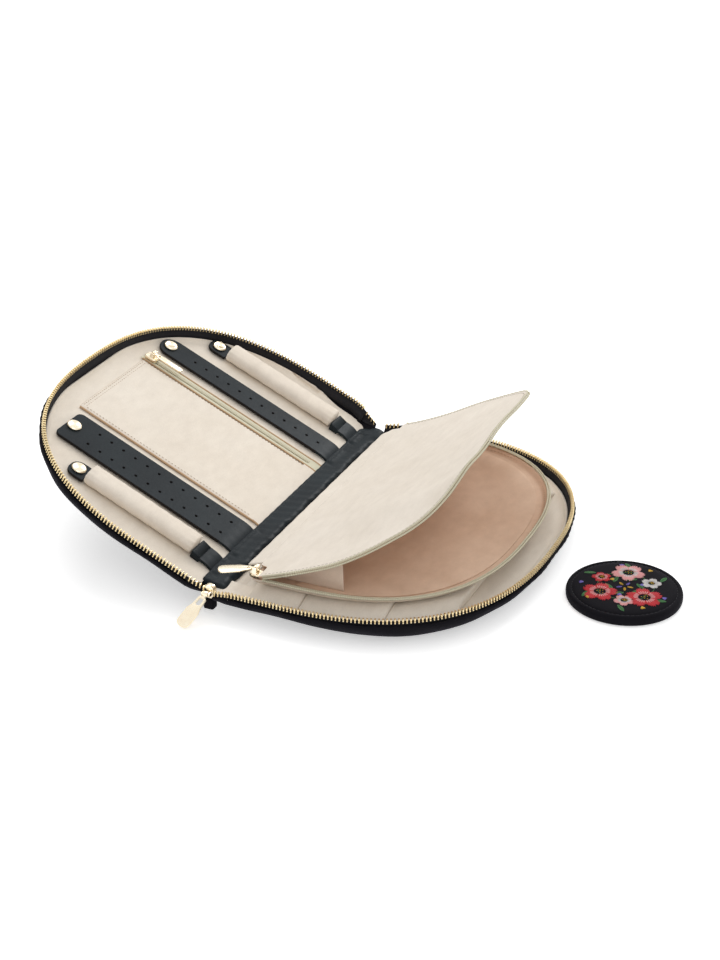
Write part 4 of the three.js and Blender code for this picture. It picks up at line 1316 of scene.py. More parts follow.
@dataclass
class HingeCloth:
    """Cloth or leather that bridges a fold between the spine and one half.

    The path starts on the half at a distance from the fold and a height, bends at a second distance, and ends
    on the spine. Both its ends have their own range along the spine.
    """

    name: str
    side: Side
    path: tuple[float, float, float, float, float]
    near: Pair
    far: Pair
    finish: str = "cream_suede"
    slot: str = "cream_suede"
    thickness: float = 0.8
    columns: int = 120
    sheet: bool = False

    def build(self) -> None:
        """Make the strip across the fold between the half and the spine."""
        start, bend, height, end, spine_height = self.path
        fold = spot(Side.SPINE, (0 if self.side is Side.TRAY else SPINE_WIDTH, 0, 0))

        def place(s: float, t: float) -> Point:
            """Give the point at a share along the spine and across the fold.

            Args:
                s: Share of the first direction, 0 to 1.
                t: Share of the second direction, 0 to 1.

            Returns:
                The point.
            """
            ys = [low + (high - low) * s for low, high in (self.near, self.far)]
            y = ys[0] + (ys[1] - ys[0]) * t
            a = spot(self.side, (start, y, height))
            middle = spot(self.side, (bend, y, height))
            b = spot(Side.SPINE, (end, y, spine_height))
            curve = (1 - t) ** 2 * a + 2 * t * (1 - t) * middle + t * t * b
            curve.z += 0.06 * math.sin(y * 0.9 + 2 * t) * math.sin(math.pi * t)
            return tuple(curve)

        width = self.near[1] - self.near[0]
        mesh = facing(grid(self.columns, 8, place, (width / 1000, 0.012)), (0, 0, 1))
        bmesh.ops.solidify(mesh, geom=mesh.faces[:], thickness=self.thickness)
        item = Piece(self.name, solid(mesh), Side.ROW, "", (self.finish,), self.slot).make()
        out, into = spot(self.side, (start, 0, height)), spot(Side.SPINE, (end, 0, spine_height))
        out.z = into.z = fold.z
        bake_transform(item)
        if self.sheet:
            points = [Vector(place(0.5, k / 8)) for k in range(9)]


@dataclass
class ZipTail:
    """The end of a half's zip and cover that runs on beside the spine, beyond the fold."""

    name: str
    side: Side
    start: Point
    end: Point
    shrink: float
    teeth_nodes: tuple[str, ...] = ()
    tape_nodes: tuple[str, ...] = ()
    keep: float = 0.1
    steps: int = 14

    def frames(self) -> tuple[Vector, Vector, Vector, Vector]:
        """Give the start and end in the row frame, the way out, and the half's up direction.

        Returns:
            Start, end, way out and up.
        """
        a = spot(self.side, self.start)
        b = Vector((self.end[0] + FOLD_X, self.end[1], self.end[2]))
        out = Vector((0, math.copysign(1, self.start[1]), 0))
        up = (spot(self.side, (0, 0, 1)) - spot(self.side, (0, 0, 0))).normalized()
        return a, b, out, up

    def finish(self, item: Item) -> None:
        """Give the piece a mesh of its own where keep is below 1.

        Args:
            item: The piece.
        """
        a, b, _, _ = self.frames()
        if self.keep < 1:
            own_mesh(item)

    def strip(self, label: str, section: Sequence[Pair], finish: str, slot: str,
              nodes: tuple[str, ...]) -> None:
        """Carry an open section of out and down distances along the tail.

        Args:
            label: The strip's name.
            section: Its section.
            finish: Its finish.
            slot: Its material slot. It is not used.
            nodes: The nodes that it stands for.
        """
        a, b, out, up = self.frames()

        def place(s: float, t: float) -> Point:
            """Give the point at a share along the tail and down the section.

            Args:
                s: Share of the first direction, 0 to 1.
                t: Share of the second direction, 0 to 1.

            Returns:
                The point.
            """
            size = 1 + (self.shrink - 1) * smooth(s, 0, 1)
            k = t * (len(section) - 1)
            i = min(len(section) - 2, int(k))
            x = section[i][0] + (section[i + 1][0] - section[i][0]) * (k - i)
            d = section[i][1] + (section[i + 1][1] - section[i][1]) * (k - i)
            lean = (up * (1 - s) + UP * s).normalized()
            return tuple(a + (b - a) * s + out * x * (size if x < 0 else 1) - lean * d * size)

        mesh = facing(grid(self.steps, 2 * (len(section) - 1), place, (0.012, 0.02)), tuple(out))
        bmesh.ops.solidify(mesh, geom=mesh.faces[:], thickness=0.8)
        item = Piece(
            f"{self.name}_{label}", solid(mesh), Side.ROW, self.side.value, (finish,), slot, nodes
        ).make()
        self.finish(item)

    def build(self) -> None:
        """Build the tail's teeth, tape and velvet."""
        a, b, out, up = self.frames()
        along = (b - a).normalized()
        mesh = bmesh.new()
        count = max(2, int((b - a).length / TOOTH_PITCH))
        for k in range(count):
            share = (k + 0.5) / count
            lean = (up * (1 - share) + UP * share).normalized()
            turn = Matrix((along, out, lean)).transposed().to_4x4()
            add_tooth(mesh, Matrix.Translation(a + (b - a) * share) @ turn, 0.98)
        self.finish(chain(f"{self.name}_teeth", mesh, Side.ROW, self.side.value, self.teeth_nodes))
        self.strip(
            "tape", ((0.42, 1.9), (0.42, 4), (0.2, 6.5), (-1.4, 8.5)), "zip_tape", "zip_tape", self.tape_nodes
        )
        wall = [(1.25, 4.0), (2.0, 4.6)]
        for height in (0.85, 0.66, 0.5, 0.36, 0.22, 0.12, 0.05):
            x = float(LINE.wall(height, 2.0)(np.array([0.002]))[0])
            wall.append((x, TOOTH_TOP - height * 14.8))
        self.strip("velvet", wall, "black_velvet", "black_velvet", ())


# Spine


@dataclass
class Spine:
    """The spine: velvet back, lining, and a stuffed leather band with a flat binding."""

    band_front: float = -112.0
    band_back: float = 119.5
    band_columns: int = 230
    profile: tuple[Pair, ...] = (
        (25.2, 5.5), (25.6, 6.05), (25.45, 6.5), (24.9, 6.68), (24.1, 6.62), (23.6, 6.45), (23.1, 6.58),
        (22, 6.48),
        (20.6, 6.4), (19.2, 6.42), (17.8, 6.55), (16.4, 6.7), (15.1, 6.7), (13.9, 6.45), (12.8, 5.95),
        (11.9, 5.3),
        (11.1, 4.45), (10.5, 3.6), (10.2, 2.9), (10.4, 2.4), (15, 2.33), (21, 2.33), (24.4, 4.4),
    )
    strap_places: tuple[Pair, ...] = ((67, 9.5), (-62, 14.8), (98, 7.3), (-94, 7.3))

    def plan(self, start: float, end: float, half: float, corner: float) -> list[Pair]:
        """Give a plate's plan with slanting corners.

        Args:
            start: Near edge.
            end: Far edge.
            half: Half length.
            corner: Length of a corner.

        Returns:
            The points.
        """
        side = corner * 0.6
        return [
            (start, -half + corner), (start + side, -half), (end - side, -half), (end, -half + corner),
            (end, half - corner), (end - side, half), (start + side, half), (start, half - corner),
        ]

    def band_point(self, y: float, k: int) -> Point:
        """Give a point of the band's skin.

        Args:
            y: Place along the spine.
            k: Number of the point in the profile.

        Returns:
            The point in the spine's own frame.
        """
        e, h = self.profile[k]
        right = smooth(26.5 - e, 8, 16)
        left = smooth(e, 18, 24.5)
        crown = smooth(h, 4.2, 5.8)
        wedge = smooth(y, 96, 108) * (1 - smooth(y, 113, 119.5))
        e -= 4.6 * wedge * right + 9.0 * smooth(y, 106, 119) ** 2 * left + 0.9 * smooth(y, 114, 119.5) * right
        h += 1.5 * smooth(y, 101, 114) * crown - 1.2 * smooth(y, 100, 118) * left * crown
        lifted = 0.0
        for place, half in self.strap_places:
            lifted = max(lifted, 1 - smooth(abs(y - place), half - 1.5, half + 2.5))
            beside = math.exp(-(((abs(y - place) - half - 2.0) / 1.7) ** 2))
            h -= 0.5 * beside * smooth(e, 16.5, 19.5) * (1 - smooth(e, 22.5, 24)) * crown
        h += 0.6 * lifted * left * crown
        wavy = 0.5 * math.sin(y * 0.19 + 0.6) + 0.3 * math.sin(y * 0.43)
        e += wavy * right
        h += 0.12 * math.sin(y * 0.77 + e * 0.5) * crown + 0.06 * math.sin(y * 2.3 + e) * crown * (1 - left)
        for end, sign in ((self.band_front, 1), (self.band_back, -1)):
            inside = max(0.0, (y - end) * sign)
            if inside < 2.2:
                share = math.sqrt(max(0.0, 1 - (1 - inside / 2.2) ** 2))
                h = 2.35 + (h - 2.35) * (0.25 + 0.75 * share)
                e = 18.2 + (e - 18.2) * (0.93 + 0.07 * share)
        return e, y, h

    def band(self) -> None:
        """Make the band's leather skin."""
        around = len(self.profile)
        length = self.band_back - self.band_front

        def place(s: float, t: float) -> Point:
            """Give the point at a share along and round the band."""
            return self.band_point(self.band_front + length * s, round(t * around) % around)

        mesh = close(grid(self.band_columns, around, place, (length / 1000, 0.04)))
        item = Piece(
            "spine_band_skin", mesh, Side.SPINE, "spine", ("slate_leather",), "slate_leather",
            ("spine_leather_band",), angle=60,
        ).make()
        self.flatten(item)

    def flatten(self, item: Item) -> None:
        """Give a piece of the band a mesh of its own."""
        up = (Side.SPINE.matrix().to_3x3() @ Vector((0, 0, 1))).normalized()
        tuple(spot(Side.SPINE, (18, 0, 2.4)) / 1000)
        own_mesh(item)

    def stitches(self) -> None:
        """Sew the binding down along its outer edge."""
        path = [Vector(self.band_point(float(y), 5)) for y in np.arange(self.band_front + 3, 103, 1.0)]
        self.flatten(sew(
            "spine_band_stitches", path, Side.SPINE, "spine", "slate_thread", "slate_leather",
            (2.3, 0.9, 0.19, 0.03),
        ))

    def build(self) -> None:
        """Build the spine."""
        back = plate(self.plan(0.3, 29.7, 103, 4.5), -3, -0.35, 0.8)
        panel = Piece(
            "spine_velvet", back, Side.SPINE, "spine", ("black_velvet",), "black_velvet", ("spine_panel",)
        )
        panel.make()
        inner = plate(self.plan(0.6, 29.4, 107.5, 18), 0.0, 2.0, 0.6)
        lining = Piece(
            "spine_pad", inner, Side.SPINE, "spine", ("cream_suede",), "cream_suede", ("spine_lining",)
        )
        lining.make()
        self.band()
        self.stitches()
        self.hinges()
        self.ends()

    def hinges(self) -> None:
        """Bridge the folds with cloth, with the pocket's end and with the straps' roots."""
        flat = (4.6, -1.4, 9.23, 24.6, 5.0)
        HingeCloth("lid_hinge_cloth", Side.LID, flat, (-122.4, 118.5), (-113.5, 117), sheet=True).build()
        tray = (4.6, 0.9, 9.23, 4.0, 2.9)
        HingeCloth("tray_hinge_cloth", Side.TRAY, tray, (-122.4, 118), (-119, 112), sheet=True).build()
        corner = (4.8, -3.0, 9.1, 22.5, 3.2)
        HingeCloth(
            "front_corner_cloth", Side.TRAY, corner, (-123.6, -100), (-117, -100), columns=24, sheet=True
        ).build()
        raised = (5.6, -1.4, 10.73, 24.5, 6.0)
        HingeCloth(
            "pocket_hinge_cloth", Side.LID, raised, (-39, 40.6),
            (-39, 40.6), "panel_suede", "cream_suede_shade",
            columns=40, sheet=True,
        ).build()
        # The three fold ends get the darker tan fold suede, painted shade in the folds.
        for name, middle, half, lift, finish, slot in (
            ("pocket_low_fold", -39.2, 0.75, 0.1, "fold_shade_suede", "cream_suede_shade"),
            ("pocket_near_fold", 40.7, 0.55, 0.25, "fold_shade_suede", "cream_suede_shade"),
            ("pocket_far_fold", 49.4, 0.55, 0.25, "fold_shade_suede", "cream_suede_shade"),
            ("pocket_zip", 45.0, 3.9, 0.0, "pale_tape", "coil"),
        ):
            path = (4.2, -1.4, 10.6 + lift, 24.5, 5.9 + lift)
            HingeCloth(
                f"{name}_end", Side.LID, path, (middle - half, middle + half), (middle - half, middle + half),
                finish, slot, columns=6,
            ).build()
        for name, middle, half in (("narrow", 67, 9.5), ("wide", -62, 14.75)):
            ends = (middle - half, middle + half)
            HingeCloth(
                f"{name}_strap_root", Side.LID, (6.25, -1.0, 12.4, 24.4, 6.5), ends, ends, "slate_leather",
                "slate_leather", 1.6, 16,
            ).build()

    def ends(self) -> None:
        """Run the ends of both zips and covers on beside the spine."""
        for tail in (
            ZipTail(
                "lid_front_tail", Side.LID, (0.9, -127, 18.8), (-13.4, -126.2, 18.6), 0.55, ("lid_zip_tail",)
            ),
            ZipTail("lid_back_tail", Side.LID, (0.9, 122.3, 18.8), (-15.2, 117.5, 18.6), 0.5),
            ZipTail("tray_back_tail", Side.TRAY, (0.9, 122.3, 18.8), (-8.6, 118.5, 17.9), 0.5),
            ZipTail(
                "tray_front_tail", Side.TRAY, (0.9, -127, 18.8), (-8.2, -127, 17.4), 0.75,
                ("zip_tail_teeth",),
                ("zip_tail_tape",), 1.0,
            ),
        ):
            tail.build()


# Straps, snaps and rolls


@dataclass
class PressStud:
    """The cap of a press stud, dished in its middle with a rolled rim."""

    name: str
    place: Pair
    body: str
    node: str
    bottom: float = 12.7
    profile: tuple[Pair, ...] = (
        (0, 0), (4.3, 0), (4.6, 0.1), (4.72, 0.35), (4.68, 0.62), (4.5, 0.95), (4.15, 1.3), (3.75, 1.52),
        (3.35, 1.58), (3.0, 1.5), (2.5, 1.3), (1.7, 1.12), (0.8, 1.03), (0, 1.0),
    )

    def build(self) -> None:
        """Spin the cap."""
        mesh = turned(self.profile, (*self.place, self.bottom), 48)
        Piece(
            self.name, mesh, Side.LID, self.body, ("pale_gold",), "gold_metal", (self.node,), angle=60
        ).make()


def leather_plate(outline: Sequence[Pair], low: float, high: float, bevel: float,
                  holes: Sequence[Sequence[Pair]] = (), square: float = -999.0) -> Mesh:
    """Make a leather strip with dark sides and holes, and a square end where one is asked for.

    Args:
        outline: Points of its edge.
        low: Height of its underside.
        high: Height of its top.
        bevel: Width of the softened edge.
        holes: Points of each hole.
        square: Place of the square end.

    Returns:
        The strip.
    """
    mesh = plate(outline, low, high, bevel, holes)
    for vertex in mesh.verts:
        if vertex.co.x < square + 0.5:
            vertex.co.x = square
            vertex.co.z = high if vertex.co.z > (low + high) / 2 else low
    mesh.normal_update()
    for face in mesh.faces:
        face.material_index = 0 if abs(face.normal.z) > 0.8 else 1
    return mesh


@dataclass
class EarringStrap:
    """A leather strap with punched holes, held down by a press stud."""

    name: str
    middle: float
    width: float
    end: float
    snap_inset: float
    start_round: float
    end_round: float
    rows: tuple[float, ...]
    root: float = 6.2
    low: float = 10.5
    high: float = 12.4
    holes: int = 12
    first_hole: float = 9.5
    last_hole: float = 108.4
    hole_radius: float = 0.9

    def build(self) -> None:
        """Build the strap and its press stud."""
        pitch = (self.last_hole - self.first_hole) / (self.holes - 1)
        holes = [
            circle(self.first_hole + i * pitch, self.middle + row, self.hole_radius)
            for row in self.rows for i in range(self.holes)
        ]
        outline = tab_outline(
            self.root, self.end, self.middle, self.width, self.start_round, self.end_round, 10
        )
        outline = [(u, y) for u, y in outline if u > self.root + self.start_round]
        outline += [(self.root, self.middle - self.width / 2), (self.root, self.middle + self.width / 2)]
        outline.sort(key=lambda point: math.atan2(point[1] - self.middle, point[0] - 40))
        mesh = leather_plate(outline, self.low, self.high, 0.32, holes, self.root)
        Piece(
            f"{self.name}_leather", mesh, Side.LID, self.name,
            ("slate_leather", "leather_edge"), "slate_leather",
            (self.name,), angle=40, plates=True,
        ).make()
        PressStud(
            f"{self.name}_cap", (self.end - self.snap_inset, self.middle), self.name, f"{self.name}_snap"
        ).build()


@dataclass
class RingRoll:
    """A stuffed suede roll with drawn-in ends, a leather anchor and a tab with a press stud."""

    name: str
    middle: float
    end: float
    tab_length: float
    snap_offset: float
    seed: float
    start: float = 12.8
    width: float = 15.4
    height: float = 9.6
    base: float = 9.5
    anchor_start: float = 6.2
    anchor_end: float = 12.5
    anchor_top: float = 14.7
    tab_width: float = 14.6
    tab_top: float = 12.4
    slope: float = 0.3
    stitch: tuple[float, float, float, float] = (1.7, 0.8, 0.16, 0.02)

    @property
    def short(self) -> str:
        """The roll's name without its last word."""
        return self.name.split("_")[0]

    def skin(self, s: float, t: float, columns: int, around: int) -> Point:
        """Give a point of the roll's skin, with pleats near its ends and a seam below.

        Args:
            s: Share of the first direction, 0 to 1.
            t: Share of the second direction, 0 to 1.
            columns: Steps along the roll.
            around: Steps round it.

        Returns:
            The point.
        """
        along = s * columns
        end = min(along, columns - along)
        swell = (0.0, 0.42, 0.72, 0.87, 0.95, 0.985)[min(5, round(end))] if end < 5.5 else 1.0
        angle = 2 * math.pi * (round(t * around) % around) / around
        c, v = math.cos(angle), math.sin(angle)
        u = self.start + (self.end - self.start) * (0.5 - 0.5 * math.cos(math.pi * s)) ** 0.92
        pleat = 0.35 * math.exp(-min(u - self.start, self.end - u) / 6) * math.sin(angle * 11 + self.seed)
        ease = 0.16 * math.sin(u * 0.23 + self.seed) * math.cos(angle * 2) + 0.1 * math.sin(
            u * 0.61 + angle * 3
        )
        across = math.copysign(abs(c) ** 0.86, c) * (
            self.width / 2 + (pleat + ease) * smooth(swell, 0.3, 0.9)
        ) * swell
        up = math.copysign(abs(v) ** 0.86, v) * (
            self.height / 2 + (pleat + ease) * smooth(swell, 0.3, 0.9)
        ) * swell
        return u, self.middle + across, self.base + self.height / 2 + up

    def stuffing(self) -> None:
        """Make the stuffed roll."""
        columns, around = 70, 36
        mesh = close(grid(columns, around, lambda s, t: self.skin(s, t, columns, around), (0.09, 0.04), 1e-3))
        roll = Piece(
            f"{self.name}_stuffing", mesh, Side.LID, self.name, ("cream_suede_roll",), "cream_suede",
            (f"{self.short}_ring_roll",), angle=70,
        ).make()

    def anchor(self) -> None:
        """Make the sloping leather anchor at the roll's root."""
        mesh = leather_plate(
            tab_outline(self.anchor_start, self.anchor_end, self.middle, self.tab_width, 0.1, 1.0), 9.5,
            self.anchor_top, 0.5, square=self.anchor_start,
        )
        for vertex in mesh.verts:
            if vertex.co.z > 12:
                vertex.co.z -= self.slope * (self.anchor_end - vertex.co.x)
        Piece(
            f"{self.short}_anchor_leather", mesh, Side.LID, "lid", ("slate_leather", "slate_leather"),
            "slate_leather", (f"{self.short}_roll_anchor",), angle=60, plates=True,
        ).make()

    def tab(self) -> None:
        """Make the leather tab at the roll's far end."""
        mesh = leather_plate(
            tab_outline(self.end + 0.3, self.end + self.tab_length, self.middle, self.tab_width, 1, 6), 10.5,
            self.tab_top, 0.32,
        )
        Piece(
            f"{self.short}_tab_leather", mesh, Side.LID, self.name, ("slate_leather", "leather_edge"),
            "slate_leather", (f"{self.short}_roll_tab",), angle=40, plates=True,
        ).make()

    def tab_stitches(self) -> None:
        """Sew round the tab."""
        u0, u1 = self.end + 1.2, self.end + self.tab_length - 1.4
        half, corner, z = self.tab_width / 2 - 1.3, 5, self.tab_top
        path = [Vector((u0, self.middle - half, z)), Vector((u1 - corner, self.middle - half, z))]
        path += [
            Vector(
                (u1 - corner + corner * math.sin(a), self.middle - half + corner - corner * math.cos(a), z)
            )
            for a in np.linspace(0.2, math.pi / 2, 6)
        ]
        path += [Vector((p.x, 2 * self.middle - p.y, p.z)) for p in reversed(path)]
        sew(
            f"{self.short}_tab_stitches", path, Side.LID, self.name, "slate_thread", "slate_leather",
            self.stitch
        )

    def anchor_stitches(self) -> None:
        """Sew round the anchor."""
        half = self.tab_width / 2 - 1.4
        path = [Vector((u, self.middle - half, 0)) for u in (6.4, 8, 9.6, 11.1)]
        path += [Vector((11.1, self.middle + half * k, 0)) for k in (-0.5, 0, 0.5)]
        path += [Vector((p.x, 2 * self.middle - p.y, 0)) for p in reversed(path[:4])]
        for point in path:
            point.z = self.anchor_top - self.slope * (self.anchor_end - point.x)
        sew(
            f"{self.short}_anchor_stitches", path, Side.LID, "lid", "slate_thread", "slate_leather",
            self.stitch
        )

    def build(self) -> None:
        """Build the roll, its leather ends and its press stud."""
        self.stuffing()
        self.anchor()
        self.tab()
        self.tab_stitches()
        self.anchor_stitches()
        ends = (self.middle - self.tab_width / 2, self.middle + self.tab_width / 2)
        HingeCloth(
            f"{self.short}_anchor_root", Side.LID, (6.3, -0.6, 12.75, 24.6, 6.3), ends, ends, "slate_leather",
            "slate_leather", 1.8, 10,
        ).build()
        PressStud(
            f"{self.short}_roll_cap", (self.end + self.snap_offset, self.middle), self.name,
            f"{self.short}_roll_snap",
        ).build()


@dataclass
class ZipPocket:
    """The flat pocket on the lid: panel, folds, zip tapes, coil and stitching."""

    low: float = -39.0
    high: float = 40.6
    end: float = 134.0
    root: float = 4.2
    zip_y: float = 45.0
    zip_end: float = 137.0
    base: float = 9.55
    rise: float = 1.15

    def panel_point(self, s: float, t: float) -> Point:
        """Give a point of the pocket's suede, rounded down at its edges.

        Args:
            s: Share of the first direction, 0 to 1.
            t: Share of the second direction, 0 to 1.

        Returns:
            The point.
        """
        u = self.root + (self.end - self.root) * t
        y = self.low + (self.high - self.low) * s
        corner = 3.0
        du, dy = u - (self.end - corner), abs(y - (self.low + self.high) / 2) - (
            (self.high - self.low) / 2 - corner
        )
        if du > 0 and dy > 0:
            pull = min(1.0, corner / max(1e-6, math.hypot(du, dy)))
            u = self.end - corner + du * pull
            y = math.copysign((self.high - self.low) / 2 - corner + dy * pull, y - 0.8) + (
                self.low + self.high
            ) / 2
        d = min(self.end - u, y - self.low, self.high - y)
        soft = 0.16 * math.sin(u * 0.09 + 0.5) * math.sin(y * 0.08 + 1) * smooth(min(d, u - 6), 2, 15)
        return u, y, self.base + self.rise * (1 - math.exp(-max(0.0, d) / 1.0)) + soft

    def line(self, y: float, start: float, end: float, z: float, steps: int = 60) -> list[Vector]:
        """Give points of a straight line along the pocket."""
        return [Vector((start + (end - start) * i / steps, y, z)) for i in range(steps + 1)]

    def strip(self, name: str, y: float, width: float, z: float, height: float, finish: str, slot: str,
              end: float, nodes: tuple[str, ...] = (), ribbed: float = 0.0) -> None:
        """Lay a rounded strip along the pocket.

        Args:
            name: The strip's name.
            y: Its place.
            width: Its width.
            z: Height of its middle.
            height: Its thickness.
            finish: Its finish.
            slot: Its material slot. It is not used.
            end: Its far end.
            nodes: The nodes that it stands for.
            ribbed: Depth of its ribs, as a share.
        """
        steps = 200 if ribbed else 40
        path = self.line(y, self.root, end, z, steps)
        scale = (lambda share: 1 - ribbed * (round(share * steps) % 2)) if ribbed else None
        mesh = sweep(path, [UP] * len(path), round_section(width, height, 8, 0.6), scale=scale)
        Piece(name, mesh, Side.LID, "lid", (finish,), slot, nodes, angle=60).make()

    def build(self) -> None:
        """Build the pocket's pieces."""
        top = self.base + self.rise
        panel = Piece(
            "pocket_suede", facing(
                grid(90, 110, self.panel_point, (0.08, 0.13)), (0, 0, 1)
            ), Side.LID, "lid", ("panel_suede",),
            "cream_suede_shade", ("pocket_panel",), thickness=0.9,
        ).make()
        # The fold strips get the darker tan fold suede, painted shade in the folds.
        self.strip(
            "pocket_low_fold", self.low - 0.2, 1.5, self.base + 0.45, 0.8, "fold_shade_suede", "cream_suede_shade",
            133
        )
        self.strip(
            "pocket_near_fold", self.high + 0.1, 1.1, top - 0.2, 0.8, "fold_shade_suede", "cream_suede_shade", 134.5
        )
        self.strip("pocket_far_fold", 49.4, 1.1, top - 0.2, 0.8, "fold_shade_suede", "cream_suede_shade", 134.5)
        tapes = [
            (self.zip_y - 2.6, "pocket_near_tape", ("pocket_zip_tape",)),
            (self.zip_y + 2.6, "pocket_far_tape", ()),
        ]
        for y, name, nodes in tapes:
            self.strip(name, y, 2.9, self.base + 0.65, 0.7, "pale_tape", "coil", self.zip_end - 1, nodes)
        self.strip(
            "pocket_coil", self.zip_y, 2.3, self.base + 1.0, 1.2, "pale_coil", "coil", self.zip_end - 2,
            ("pocket_zip_coil",), 0.16,
        )
        rows = [
            (self.line(self.low + 2.2, self.root + 1, 131, top), "pocket_low_stitches"),
            (self.line(self.high - 1.9, self.root + 1, 131, top), "pocket_near_stitches"),
            (self.line(51.2, self.root + 1, 134, LINING_TOP), "pocket_far_stitches"),
        ]
        for k, inset in enumerate((1.7, 3.6)):
            path = [
                Vector((self.end - inset, y, top)) for y in np.linspace(self.low + 2.5, self.high - 2.5, 40)
            ]
            rows.append((path, f"pocket_end_stitches_{k + 1}"))
        for path, name in rows:
            sew(name, path, Side.LID, "lid", "tan_thread", "cream_suede_shade", (1.5, 0.9, 0.17, 0.02))


@dataclass
class SlipPockets:
    """Three soft pockets under the page, one behind the other, sewn in along the case's sides."""

    mouths: tuple[float, ...] = (41.0, 91.0, 125.0)
    first: float = 9.2
    low: float = 9.5
    high: float = 17.9
    inset: float = 5.2

    def side(self, u: float) -> float:
        """Give the half width of the pockets at a distance from the fold."""
        share = max(0.0, (u - LINE.straight) / (LINE.corner_depth - self.inset))
        return (LINE.half_length - self.inset) * (1 - min(0.999, share) ** LINE.power) ** (1 / LINE.power)

    def build(self) -> None:
        """Build each pocket as a soft wedge with a rounded mouth."""
        start = self.first
        for k, mouth in enumerate(self.mouths):
            section = [
                (start, 0.04), (start + 0.6, 0.0), (mouth - 1.0, 0.0), (mouth - 0.2, 0.06), (mouth, 0.18),
                (mouth, 0.55), (mouth - 0.1, 0.8), (mouth - 0.35, 0.92), (mouth - 1.0, 0.985),
                (mouth - 2.2, 1.0),
                (mouth - 8, 0.98), ((start + mouth) / 2, 0.9), (start + 6, 0.8), (start + 0.6, 0.76),
                (start, 0.7),
            ]
            around, steps = len(section), 90

            def place(s: float, t: float, section: list[Pair] = section) -> Point:
                """Give the point at a share along and round the pocket."""
                u, share = section[round(t * around) % around]
                side = self.side(u)
                y = side * math.sin((s - 0.5) * math.pi)
                inside = min(1.0, (side - abs(y)) / 17)
                fall = 0.1 + 0.9 * inside ** 0.75 - 0.25 * smooth(u, 95, 128)
                ease = 0.12 * math.sin(y * 0.12 + u * 0.3) * smooth(share, 0.6, 0.9)
                return u, y, self.low + (self.high - self.low) * share * fall + ease * inside

            mesh = close(grid(steps, around, place, (2 * self.side(mouth) / 1000, 0.1)))
            item = Piece(
                f"slip_pocket_{k + 1}_suede", mesh, Side.TRAY, "tray", ("cream_suede",), "cream_suede_shade",
                (f"slip_pocket_{k + 1}",), angle=60,
            ).make()
            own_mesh(item)
            start = mouth + 0.3


# Page


